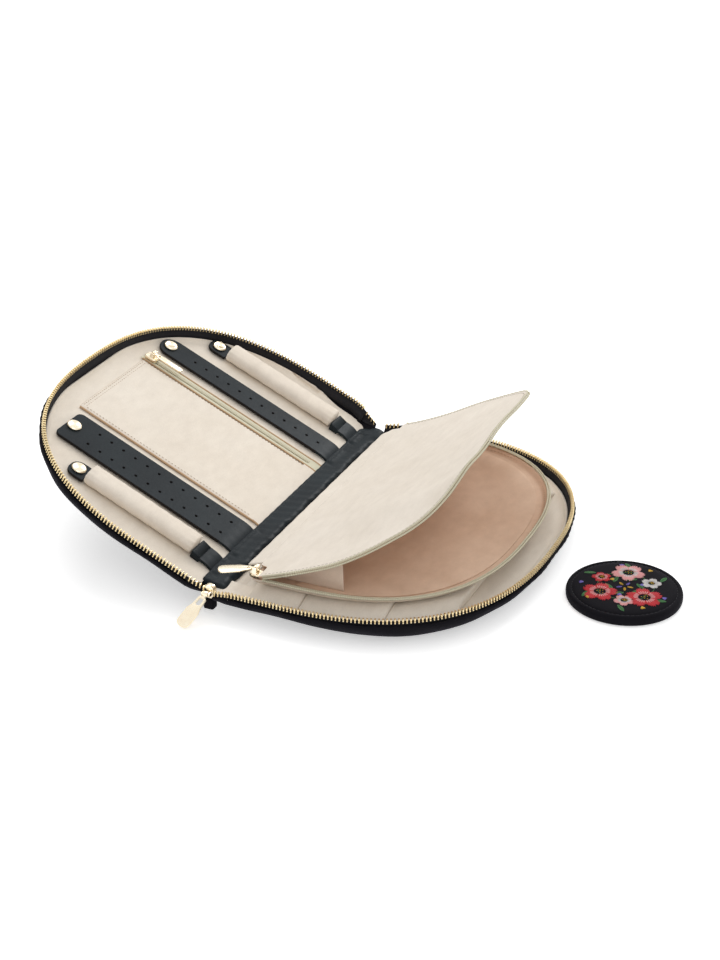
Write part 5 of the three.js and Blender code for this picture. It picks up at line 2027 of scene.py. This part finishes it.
@dataclass
class Page:
    """The zipped page: a shallow dish, its inner pocket, a gusset, a hem and the open flap."""

    inset: float = 13.8
    root: float = 8.2
    bottom: float = 18.3
    rim: float = 22.3
    half: float = 113.2
    flap_root: Pair = (-2.0, 19.0)
    flap_start: float = 8.6
    flap_rise: float = 0.3
    curl_length: float = 530.0
    twist: float = 0.11
    twist_start: float = 45.0
    twist_full: float = 95.0
    twist_depth: float = 70.0
    front_step: float = 7.0
    clear: float = 102.0
    gusset_y: float = -101.0
    gusset_end: float = 62.5
    corner_share: float = 0.88
    open_slope: float = math.radians(32.655)

    def curl(self, u: float, y: float) -> Pair:
        """Give the flap's angle seen from its root, and its own slope, at a point of the flat flap.

        Args:
            u: Distance from the fold.
            y: Place along the spine.

        Returns:
            The angle and the slope, in radians.
        """
        v = u - self.flap_root[0]
        front = smooth(-y, self.twist_start, self.twist_full) * smooth(v, 0, self.twist_depth)
        base = self.flap_rise - self.twist * front
        return math.asin(base + v / self.curl_length), math.asin(base + 2 * v / self.curl_length)

    def flap_point(self, u: float, y: float, w: float) -> Vector:
        """Give the place of a point of the flat flap, lifted by w along its normal.

        Args:
            u: Distance from the fold.
            y: Place along the spine.
            w: Height over the flap.

        Returns:
            The place.
        """
        angle, slope = self.curl(u, y)
        v = u - self.flap_root[0]
        far = smooth(u, 60, 135)
        sag = 8.0 * far * math.exp(-(((y + 44) / 34) ** 2)) + 6.0 * far * smooth(y, -50, 30)
        w -= sag - 2.2 * smooth(-y, 62, 100) * smooth(u, 20, 60)
        return Vector((
            self.flap_root[0] + v * math.cos(angle) - w * math.sin(slope), y,
            self.flap_root[1] + v * math.sin(angle) + w * math.cos(slope),
        ))

    def flap_reach(self, y: float, inset: float) -> float:
        """Give how far the flat flap reaches at a place along the spine."""
        share = min(1.0, abs(y) / (self.half - inset))
        return 33 + (106.2 - inset) * (1 - share ** 2.5) ** 0.4

    def dish(self) -> None:
        """Make the lower sheet, turned up along its rim and softly wrinkled inside."""
        bay = Bay(self.inset + 1.3, self.root + 1.3, columns=130, rows=90)

        def height(u: float, y: float, d: float) -> Point:
            """Turn the edge up and wrinkle the middle.

            Args:
                u: Distance from the fold.
                y: Place along the spine.
                d: Distance from the edge.

            Returns:
                The point.
            """
            inside = smooth(d, 4, 22)
            folds = (
                0.30 * math.sin(u * 0.075 + y * 0.05 + 0.8) + 0.22 * math.sin(u * 0.05 - y * 0.13)
                + 0.10 * math.sin(u * 0.31 + y * 0.11) * math.sin(y * 0.05 + 1)
            )
            return u, y, self.bottom + 1.35 + (self.rim - self.bottom - 1.25) * (
                1 - smooth(d, 0, 3.4)
            ) + inside * folds

        mesh = facing(bay.sheet(height), (0, 0, 1))
        # The dish's inside gets the darker pinkish pouch suede, painted shade and warm bounce light.
        item = Piece(
            "page_dish", mesh, Side.TRAY, "page", ("shaded_pouch_suede", "page_suede"), "cream_suede",
            ("page_lower_sheet",),
            thickness=1.0, lined=True,
        ).make()

    def rim_beads(self) -> None:
        """Make the two beads of the coil round the dish."""
        for k, (offset, start, nodes) in enumerate(
            ((-14.35, 16.4, ("page_lower_coil",)), (-15.75, 16.4, ()))
        ):
            line = LINE.outline(offset, start, 460)
            path = [Vector((x, y, self.rim + 0.75)) for x, y in line]
            mesh = sweep(
                path, [UP] * len(path), round_section(1.25, 1.3, 8),
                scale=lambda share: 1 - 0.1 * (round(share * 460) % 2),
            )
            Piece(
                f"page_rim_bead_{k + 1}", mesh, Side.TRAY, "page", ("pale_coil",), "coil", nodes, angle=60
            ).make()
        line = LINE.outline(-17.6, 18, 420)
        path = [Vector((x, y, self.rim - 1.35)) for x, y in line]
        sew("page_rim_stitches", path, Side.TRAY, "page", "tan_thread", "coil", (1.9, 0.9, 0.17, 0.05))

    def inner_pocket(self) -> None:
        """Make the flat pocket in the dish."""
        bay = Bay(self.inset + 8.0, 34, 999, 90, 60)

        def height(u: float, y: float, d: float) -> Point:
            """Lay the sheet with faint folds."""
            folds = 0.16 * math.sin(u * 0.09 + y * 0.06) + 0.08 * math.sin(u * 0.23 - y * 0.19 + 2)
            return u, y, self.bottom + 2.3 + folds * smooth(d, 1, 12) - 0.35 * math.exp(-d / 1.2)

        # The inner sheet gets the darker pinkish pouch suede, painted shade and warm bounce light.
        item = Piece(
            "page_inner_sheet", facing(bay.sheet(height), (0, 0, 1)), Side.TRAY, "page", ("shaded_pouch_suede",),
            "pouch_cloth", ("page_inner_pocket",), thickness=0.6,
        ).make()
        round(bay.area(), 5)

    def gusset(self) -> None:
        """Make the side wall between dish and flap beside the slider, with a rounded top corner."""
        start, end, corner = 17.5, self.gusset_end, 3.2

        def place(s: float, t: float) -> Point:
            """Give the point at a share from the slider and up the wall.

            Args:
                s: Share of the first direction, 0 to 1.
                t: Share of the second direction, 0 to 1.

            Returns:
                The point.
            """
            u = start + (end - start) * s
            top = self.flap_point(u, self.gusset_y, -0.9).z
            over = max(0.0, u - (end - corner))
            top -= corner - math.sqrt(max(0.0, corner ** 2 - over ** 2))
            x = u - 0.5 * t * smooth(s, 0.7, 1.0)
            return x, self.gusset_y + 0.8 * math.sin(math.pi * t) * math.sin(math.pi * s), 20.6 + (
                top - 20.6
            ) * t

        mesh = facing(grid(48, 18, place, (0.045, 0.017)), (0, -1, 0))
        # The gusset gets the darker pinkish suede, painted shade and warm bounce light.
        item = Piece(
            "page_gusset", mesh, Side.TRAY, "page", ("shaded_gusset_suede",), "pouch_cloth", thickness=0.8,
        ).make()
        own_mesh(item)

    def hem(self) -> None:
        """Make the hem that carries the page along the fold."""
        def place(s: float, t: float) -> Point:
            """Give the point at a share along and up the hem."""
            y = -98 + 202 * s
            return 7.85 + 0.05 * math.sin(y * 0.5), y, 16.9 + 4.6 * t

        mesh = facing(grid(100, 5, place, (0.202, 0.0046)), (1, 0, 0))
        item = Piece(
            "page_hem_suede", mesh, Side.TRAY, "page_hem", ("cream_suede",), "cream_suede",
            ("page_hem",), thickness=0.8,
        ).make()

    def flap_pieces(self) -> list[Item]:
        """Make the open flap, its coil beads and its stitching.

        Returns:
            The pieces that turn with the flap.
        """
        made = []

        def place(s: float, t: float) -> Point:
            """Give the point at a share along the spine and out to the free edge.

            Args:
                s: Share of the first direction, 0 to 1.
                t: Share of the second direction, 0 to 1.

            Returns:
                The point.
            """
            y = self.half * math.sin((s - 0.5) * math.pi) * 0.9995
            start = self.flap_start - 0.15 + self.front_step * smooth(-y, self.clear - 6, self.clear)
            reach = self.flap_reach(y, 0)
            u = start + (reach - start) * (1 - math.cos(t * math.pi)) / 2
            edge = smooth(min(reach - u, self.half - abs(y)), 2, 18) * smooth(u - start, 0, 15)
            folds = 0.3 * math.sin(u * 0.06 + y * 0.045) + 0.14 * math.sin(y * 0.17 - u * 0.08 + 1)
            return tuple(self.flap_point(u, y, 1.05 + edge * folds))

        mesh = facing(grid(120, 80, place, (0.226, 0.14)), (0, 0, 1))
        # The flap's underside and edge get the darker pinkish pouch suede, painted shade and warm bounce
        # light.
        flap = Piece(
            "page_flap_suede", mesh, Side.TRAY, "flap", ("flap_suede", "shaded_pouch_suede"), "cream_suede",
            ("page_flap",),
            thickness=1.0, lined=True,
        ).make()
        made.append(flap)
        for k, (inset, w, nodes) in enumerate(((0.1, 0.75, ("page_flap_coil",)), (0.0, -0.65, ()))):
            path, ups = self.edge(inset, w, 420)
            bead = sweep(
                path, ups, round_section(1.4, 1.3, 8), scale=lambda share: 1 - 0.1 * (round(share * 420) % 2),
            )
            made.append(Piece(
                f"page_flap_bead_{k + 1}", bead, Side.TRAY, "flap", ("pale_coil",), "coil", nodes, angle=60,
            ).make())
        path, ups = self.edge(2.3, 1.06, 300)
        made.append(sew(
            "page_flap_stitches", path, Side.TRAY, "flap", "olive_thread", "coil",
            (2.2, 0.35, 0.15, 0.0), ups,
        ))
        return made

    def edge(self, inset: float, w: float, steps: int) -> tuple[list[Vector], list[Vector]]:
        """Give points along the flap's free edge, and the flap's normals there.

        Args:
            inset: Distance inside the edge.
            w: Height over the flap.
            steps: Steps along the edge.

        Returns:
            The points and the normals.
        """
        wide, path, ups = self.half - inset, [], []
        for i in range(steps + 1):
            turn = (i / steps - 0.5) * 2
            if abs(turn) > self.corner_share:
                y = math.copysign(wide, turn)
                run = 33 - self.flap_start - (9.5 if turn < 0 else 1.5)
                u = 33 - run * (abs(turn) - self.corner_share) / (1 - self.corner_share)
            else:
                angle = turn / self.corner_share * math.pi / 2
                y = math.copysign(wide * abs(math.sin(angle)) ** 0.8, angle)
                u = 33 + (106.2 - inset) * abs(math.cos(angle)) ** 0.8
            path.append(self.flap_point(u, y, w))
            slope = self.curl(u, y)[1]
            ups.append(Vector((-math.sin(slope), 0, math.cos(slope))))
        return path, ups

    def flap_foot(self) -> None:
        """Make the strip that joins the flap to the hem over the fold."""
        def place(s: float, t: float) -> Point:
            """Give the point at a share along and across the strip.

            Args:
                s: Share of the first direction, 0 to 1.
                t: Share of the second direction, 0 to 1.

            Returns:
                The point.
            """
            y = -94 + 200.5 * s
            u = -2 + 4.5 * smooth(y, 98, 106.5) + (10.38 - 4.5 * smooth(y, 98, 106.5)) * t
            return tuple(self.flap_point(u, y, 1.05 + 0.1 * math.sin(y * 0.4) * (1 - t)))

        mesh = facing(grid(120, 10, place, (0.19, 0.0103)), (0, 0, 1))
        item = Piece(
            "page_flap_root_suede", mesh, Side.TRAY, "page_hem", ("flap_suede",), "cream_suede",
            ("page_flap_root",),
            thickness=1.0,
        ).make()
        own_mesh(item)

    def build(self) -> None:
        """Build the page."""
        self.dish()
        self.rim_beads()
        self.inner_pocket()
        self.gusset()
        self.hem()
        self.flap_foot()
        for item in self.flap_pieces():
            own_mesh(item)


# Metal


class Pull(Enum):
    """The metal pieces that follow their solids, with the width of their softened edges."""

    ZIP_SLIDER = ("zip_slider", "tray", 0.22)
    ZIP_PULL = ("zip_pull", "zip_pull", 0.2)
    PAGE_SLIDER = ("page_slider", "page", 0.18)
    PAGE_PULL = ("page_pull", "page_pull", 0.2)
    POCKET_SLIDER = ("pocket_slider", "pocket_slider", 0.18)
    POCKET_PULL = ("pocket_pull", "pocket_pull", 0.16)


@dataclass
class ZipMetal:
    """Sliders, pulls and the loose ends of the case's zip."""

    slider_u: float = -12.0
    slider_y: float = -124.0
    half: float = 127.0

    def build(self) -> None:
        """Build all the zips' metal and the velvet end tab."""
        for pull in Pull:
            node, body, bevel = pull.value
            Piece(
                f"{node}_metal", refined(node, bevel), Side.ROW, body, ("pale_gold",), "gold_metal",
                (node,), angle=32,
            ).make()
        outline = tab_outline(self.slider_u - 3.4, self.slider_u + 3.4, self.slider_y, 6, 1.5, 1.5)
        tab = Piece(
            "end_tab_velvet", plate(outline, 4.4, 11.1, 0.8), Side.TRAY, "tray",
            ("black_velvet",), "black_velvet",
            ("zip_end_tab",), angle=60,
        ).make()
        for node in ("narrow_strap_stud", "wide_strap_stud", "upper_roll_stud", "lower_roll_stud"):
            dress(node, "pale_gold")


def dress(node: str, finish: str) -> None:
    """Give a CAD node that stays in view its finish.

    Args:
        node: The node's name.
        finish: The finish's name.
    """
    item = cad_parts[node]
    item.data.materials.clear()
    item.data.materials.append(Finishes.get(finish))
    for face in item.data.polygons:
        face.material_index = 0


# Mirror


@dataclass
class Blossom:
    """A five-petal flower in satin stitch."""

    x: float
    y: float
    size: float
    turn: float
    thread: int
    petals: int = 5


@dataclass
class RoundMirror:
    """The loose round mirror in its padded velvet case, with a stitched wreath on top."""

    x: float = 123.3
    y: float = -5.8
    radius: float = 34.5
    seam: float = 31.1
    profile: tuple[Pair, ...] = (
        (0, 1.2), (29.5, 1.2), (29.5, 0.3), (29.8, 0), (33, 0), (33.9, 0.4), (34.35, 1.3), (34.5, 2.6),
        (34.45, 4.0),
        (34.1, 5.1), (33.4, 5.9), (32.5, 6.2), (31.7, 6.05), (31.25, 5.7), (31.1, 5.55), (30.9, 5.7),
        (30.2, 6.15),
        (28.8, 6.6), (26, 6.95), (21, 7.12), (14, 7.18), (7, 7.2), (0, 7.2),
    )
    threads: tuple[str, ...] = (
        "rose_thread", "blush_thread", "leaf_thread", "straw_thread", "lilac_thread", "ivory_thread",
    )

    def top(self, r: float) -> float:
        """Give the height of the cover at a distance from its middle."""
        radii, heights = zip(*reversed(self.profile[14:]))
        return float(np.interp(r, radii, heights))

    def strand(self, mesh: Mesh, start: Sequence[float], end: Sequence[float], wide: float,
               thread: int, lift: float = 0.12) -> None:
        """Lay one strand of thread between two places on the cover.

        Args:
            mesh: The stitching.
            start: One end.
            end: Other end.
            wide: Width of the strand.
            thread: Number of its thread.
            lift: Height over the cover.
        """
        a = Vector((start[0], start[1], self.top(math.hypot(*start)) + lift))
        b = Vector((end[0], end[1], self.top(math.hypot(*end)) + lift))
        along = b - a
        if along.length < 0.25:
            return
        across = UP.cross(along).normalized()
        turn = Matrix((along.normalized(), across, along.normalized().cross(across))).transposed().to_4x4()
        made = bmesh.ops.create_icosphere(
            mesh, subdivisions=1, radius=1,
            matrix=Matrix.Translation(Vector((self.x, self.y, 0)) + (a + b) / 2)
            @ turn @ Matrix.Diagonal((along.length / 2 * 1.06, wide / 2, wide * 0.42, 1)), calc_uvs=True,
        )
        for vert in made["verts"]:
            for face in vert.link_faces:
                face.material_index = thread

    def flower(self, mesh: Mesh, blossom: Blossom) -> None:
        """Stitch a flower: fans of strands as petals, a ring of short light strands and knots.

        Args:
            mesh: The stitching.
            blossom: The flower.
        """
        for p in range(blossom.petals):
            axis = blossom.turn + 2 * math.pi * p / blossom.petals
            spread = math.pi / blossom.petals * 0.88
            for k in range(-5, 6):
                share = k / 5
                angle = axis + spread * share
                far = blossom.size * (1 - 0.3 * abs(share) ** 2.4 - (0.1 if k == 0 else 0))
                points = [
                    (blossom.x + r * math.cos(angle), blossom.y + r * math.sin(angle)) for r in (
                        blossom.size * 0.3, far
                    )
                ]
                self.strand(mesh, points[0], points[1], blossom.size * 0.115, blossom.thread)
                if k % 2 == 0:
                    tip = blossom.size * 0.62
                    inner = (blossom.x + tip * math.cos(angle), blossom.y + tip * math.sin(angle))
                    light = 1 if blossom.thread == 0 else 5
                    self.strand(mesh, points[0], inner, blossom.size * 0.07, light, 0.42)
        for k in range(7):
            angle, r = 2.4 * k, blossom.size * 0.09 * math.sqrt(k)
            spot_at = (blossom.x + r * math.cos(angle), blossom.y + r * math.sin(angle))
            self.strand(mesh, spot_at, (spot_at[0] + 0.6, spot_at[1] + 0.2), 0.6, 3, 0.45)

    def leaf(self, mesh: Mesh, x: float, y: float, length: float, turn: float, thread: int = 2) -> None:
        """Stitch a leaf from slanting strands on both sides of its vein.

        Args:
            mesh: The stitching.
            x: Place of its foot.
            y: Place of its foot.
            length: Length.
            turn: Direction, in radians.
            thread: Number of its thread.
        """
        steps = max(5, int(length / 0.55))
        for k in range(1, steps):
            q = k / steps
            half = 0.19 * length * math.sin(math.pi * q ** 0.8) ** 0.8
            foot = (x + length * q * math.cos(turn), y + length * q * math.sin(turn))
            for side in (-1, 1):
                slant = turn + side * 0.95
                end = (foot[0] + half * 1.25 * math.cos(slant), foot[1] + half * 1.25 * math.sin(slant))
                self.strand(mesh, foot, end, 0.52, thread)

    def stem(self, mesh: Mesh, start: float, end: float, radius: float, wave: float) -> None:
        """Stitch a stem along the wreath.

        Args:
            mesh: The stitching.
            start: First angle.
            end: Last angle.
            radius: The wreath's radius.
            wave: How far it waves.
        """
        steps = int(abs(end - start) * radius / 1.3)
        for k in range(steps):
            a, b = (start + (end - start) * (k + d) / steps for d in (0, 1))
            ra, rb = (radius + wave * math.sin(5 * angle) for angle in (a, b))
            self.strand(
                mesh, (ra * math.cos(a), ra * math.sin(a)), (rb * math.cos(b), rb * math.sin(b)), 0.5, 2, 0.08
            )

    def embroidery(self) -> None:
        """Stitch the wreath."""
        mesh = bmesh.new()
        mesh.loops.layers.uv.new("cloth")
        ring = 16.5
        self.stem(mesh, 0.0, 2 * math.pi, ring, 0.9)
        flowers = (
            (-0.5, 11.4, 0), (0.62, 6.4, 5), (1.75, 10.6, 1), (2.85, 6.2, 0), (3.95, 11.0, 0), (5.0, 6.6, 1),
        )
        for k, (angle, size, thread) in enumerate(flowers):
            self.flower(
                mesh, Blossom(ring * math.cos(angle), ring * math.sin(angle), size, angle + k, thread)
            )
        for k in range(12):
            angle = 2 * math.pi * k / 12 + 0.12
            out = 1 if k % 2 else -1
            r = ring + out * (5.6 if out > 0 else 4.6)
            self.leaf(
                mesh, r * math.cos(angle), r * math.sin(angle), 7.6,
                angle + (0.7 if out > 0 else math.pi - 0.7)
            )
        for k in range(9):
            angle = 2 * math.pi * k / 9 + 0.55
            r = ring + 7.6 * (1 if k % 3 else -1)
            bud = (r * math.cos(angle), r * math.sin(angle))
            thread = 3 if k % 2 else 4
            for d in (-0.5, -0.17, 0.17, 0.5):
                tip = (bud[0] + 3.0 * math.cos(angle + d), bud[1] + 3.0 * math.sin(angle + d))
                self.strand(mesh, bud, tip, 0.75, thread)
        for k in range(5):
            angle = 2 * math.pi * k / 5
            self.leaf(mesh, 1.2 * math.cos(angle), 1.2 * math.sin(angle), 4.2, angle, 4 if k % 2 else 3)
        Piece("mirror_embroidery", mesh, Side.ROW, "mirror", self.threads, "black_velvet", angle=60).make()

    def build(self) -> None:
        """Build the mirror's case, its seam and its stitching."""
        body = turned(self.profile, (self.x, self.y, 0), 96)
        case = Piece(
            "mirror_velvet", body, Side.ROW, "mirror", ("black_velvet",), "black_velvet",
            ("mirror_case",), angle=60,
        ).make()
        angles = np.linspace(0, 2 * math.pi, 240)
        path = [
            Vector((self.x + self.seam * math.cos(a), self.y + self.seam * math.sin(a), 5.6)) for a in angles
        ]
        sew(
            "mirror_seam_stitches", path, Side.ROW, "mirror", "black_thread", "black_velvet",
            (2.2, 0.7, 0.2, 0.05)
        )
        self.embroidery()
        dress("mirror_glass", "mirror_glass")


# Studio


def shown(tree: bpy.types.NodeTree, seen: bpy.types.Node) -> Socket:
    """Find the rays that show the background: straight to the camera, mirrored, or let through.

    Args:
        tree: The node tree of a world or a material.
        seen: Its light path node.

    Returns:
        An output of at least 1 for such rays, and 0 for all others.
    """
    total = seen.outputs["Is Camera Ray"]
    for name in ("Is Glossy Ray", "Is Transmission Ray"):
        add = tree.nodes.new("ShaderNodeMath")
        add.operation = "ADD"
        tree.links.new(total, add.inputs[0])
        tree.links.new(seen.outputs[name], add.inputs[1])
        total = add.outputs[0]
    return total


@dataclass
class Studio:
    """White floor, soft light and the camera."""

    elevation: float = 26.98
    azimuth: float = 24.51
    distance: float = 1264.0
    shift: Pair = (35.5, 26.5)
    middle: float = -89.59
    lens: float = 75.0
    sensor: float = 36.0
    ambient: float = 0.71
    key: float = 0.26
    fill: float = 0.12
    back: float = 0.19
    glow: float = 0.45

    def floor(self) -> None:
        """Lay the white floor."""
        board = ShaderBoard("floor_white")
        tone = board.noise(board.place(), 3, 2)
        board.colour(board.ramp(tone, [(0.2, (0.955, 0.955, 0.955)), (0.8, (0.965, 0.965, 0.965))]))
        board.set(Roughness=0.9, Specular_IOR_Level=0.1)
        glow = board.tree.nodes.new("ShaderNodeEmission")
        seen = board.tree.nodes.new("ShaderNodeLightPath")
        strength = board.span(shown(board.tree, seen), 0.0, self.glow)
        board.wire(strength, glow.inputs["Strength"])
        total = board.tree.nodes.new("ShaderNodeAddShader")
        board.wire(board.shader.outputs["BSDF"], total.inputs[0])
        board.wire(glow.outputs["Emission"], total.inputs[1])
        output = next(node for node in board.tree.nodes if node.type == "OUTPUT_MATERIAL")
        board.wire(total.outputs["Shader"], output.inputs["Surface"])
        mesh = bmesh.new()
        bmesh.ops.create_grid(
            mesh, x_segments=4, y_segments=4, size=6, matrix=Matrix.Translation((0, 0, -0.0004))
        )
        data = bpy.data.meshes.new("studio_floor")
        mesh.to_mesh(data)
        mesh.free()
        data.materials.append(board.material)
        floor = bpy.data.objects.new("studio_floor", data)
        bpy.context.scene.collection.objects.link(floor)

    def lamp(self, name: str, place: Sequence[float], size: float, level: float) -> None:
        """Hang an area light that gives a facing surface the level of light asked for.

        Args:
            name: The lamp's name.
            place: Its place, in metres.
            size: Its width.
            level: The level of light.
        """
        data = bpy.data.lights.new(name, "AREA")
        data.shape = "DISK"
        data.size = size
        where = Vector(place)
        data.energy = level * math.pi ** 2 * where.length ** 2
        lamp = bpy.data.objects.new(name, data)
        lamp.location = where
        lamp.rotation_euler = where.to_track_quat("Z", "Y").to_euler()
        bpy.context.scene.collection.objects.link(lamp)

    def world(self) -> None:
        """Fill the room with soft white light, plain white to the camera."""
        world = bpy.data.worlds.new("studio_light")
        bpy.context.scene.world = world
        world.use_nodes = True
        tree = world.node_tree
        tree.nodes.clear()
        seen = tree.nodes.new("ShaderNodeLightPath")
        sky = tree.nodes.new("ShaderNodeBackground")
        level = tree.nodes.new("ShaderNodeMapRange")
        level.inputs["To Min"].default_value = self.ambient
        level.inputs["To Max"].default_value = 1.0
        output = tree.nodes.new("ShaderNodeOutputWorld")
        tree.links.new(shown(tree, seen), level.inputs["Value"])
        tree.links.new(level.outputs["Result"], sky.inputs["Strength"])
        tree.links.new(sky.outputs["Background"], output.inputs["Surface"])
        sky.inputs["Color"].default_value = (1, 1, 1, 1)

    def camera(self) -> None:
        """Set the camera as the photograph was taken."""
        up, round_ = math.radians(self.elevation), math.radians(self.azimuth)
        back = Vector((math.cos(up) * math.sin(round_), -math.cos(up) * math.cos(round_), math.sin(up)))
        right = Vector((math.cos(round_), math.sin(round_), 0))
        above = back.cross(right)
        place = back * self.distance + right * self.shift[0] + above * self.shift[1] + Vector(
            (self.middle, 0, 0)
        )
        data = bpy.data.cameras.new("camera")
        data.lens = self.lens
        data.sensor_width = self.sensor
        data.clip_end = 30
        camera = bpy.data.objects.new("camera", data)
        turn = Matrix((right, above, back)).transposed().to_4x4()
        camera.matrix_world = Matrix.Translation(place / 1000) @ turn
        bpy.context.scene.collection.objects.link(camera)
        bpy.context.scene.camera = camera

    def build(self) -> None:
        """Build the studio."""
        self.floor()
        self.world()
        self.lamp("key_light", (-0.75, 0.75, 1.7), 1.3, self.key)
        self.lamp("fill_light", (0.9, -1.3, 1.1), 1.4, self.fill)
        self.lamp("back_light", (0.35, 2.1, 1.4), 0.7, self.back)
        self.camera()
        bpy.context.scene.view_settings.view_transform = "Standard"


def main() -> None:
    """Build every piece of the case in order."""
    logging.basicConfig(level=logging.INFO, format="%(message)s")
    for half in (CaseHalf("tray", Side.TRAY, 0.0), CaseHalf("lid", Side.LID, 0.5)):
        half.build()
    Spine().build()
    EarringStrap("narrow_strap", 67, 19, 135.5, 7, 3.5, 9.2, (0,)).build()
    EarringStrap("wide_strap", -62, 29.5, 128.6, 5.1, 2.5, 4, (-7, 7)).build()
    RingRoll("upper_roll", 98, 98, 15.5, 8.7, 0.4).build()
    RingRoll("lower_roll", -94, 91.5, 13.5, 7.5, 2.1).build()
    ZipPocket().build()
    SlipPockets().build()
    Page().build()
    ZipMetal().build()
    RoundMirror().build()
    Studio().build()


if __name__ == "__main__":
    main()
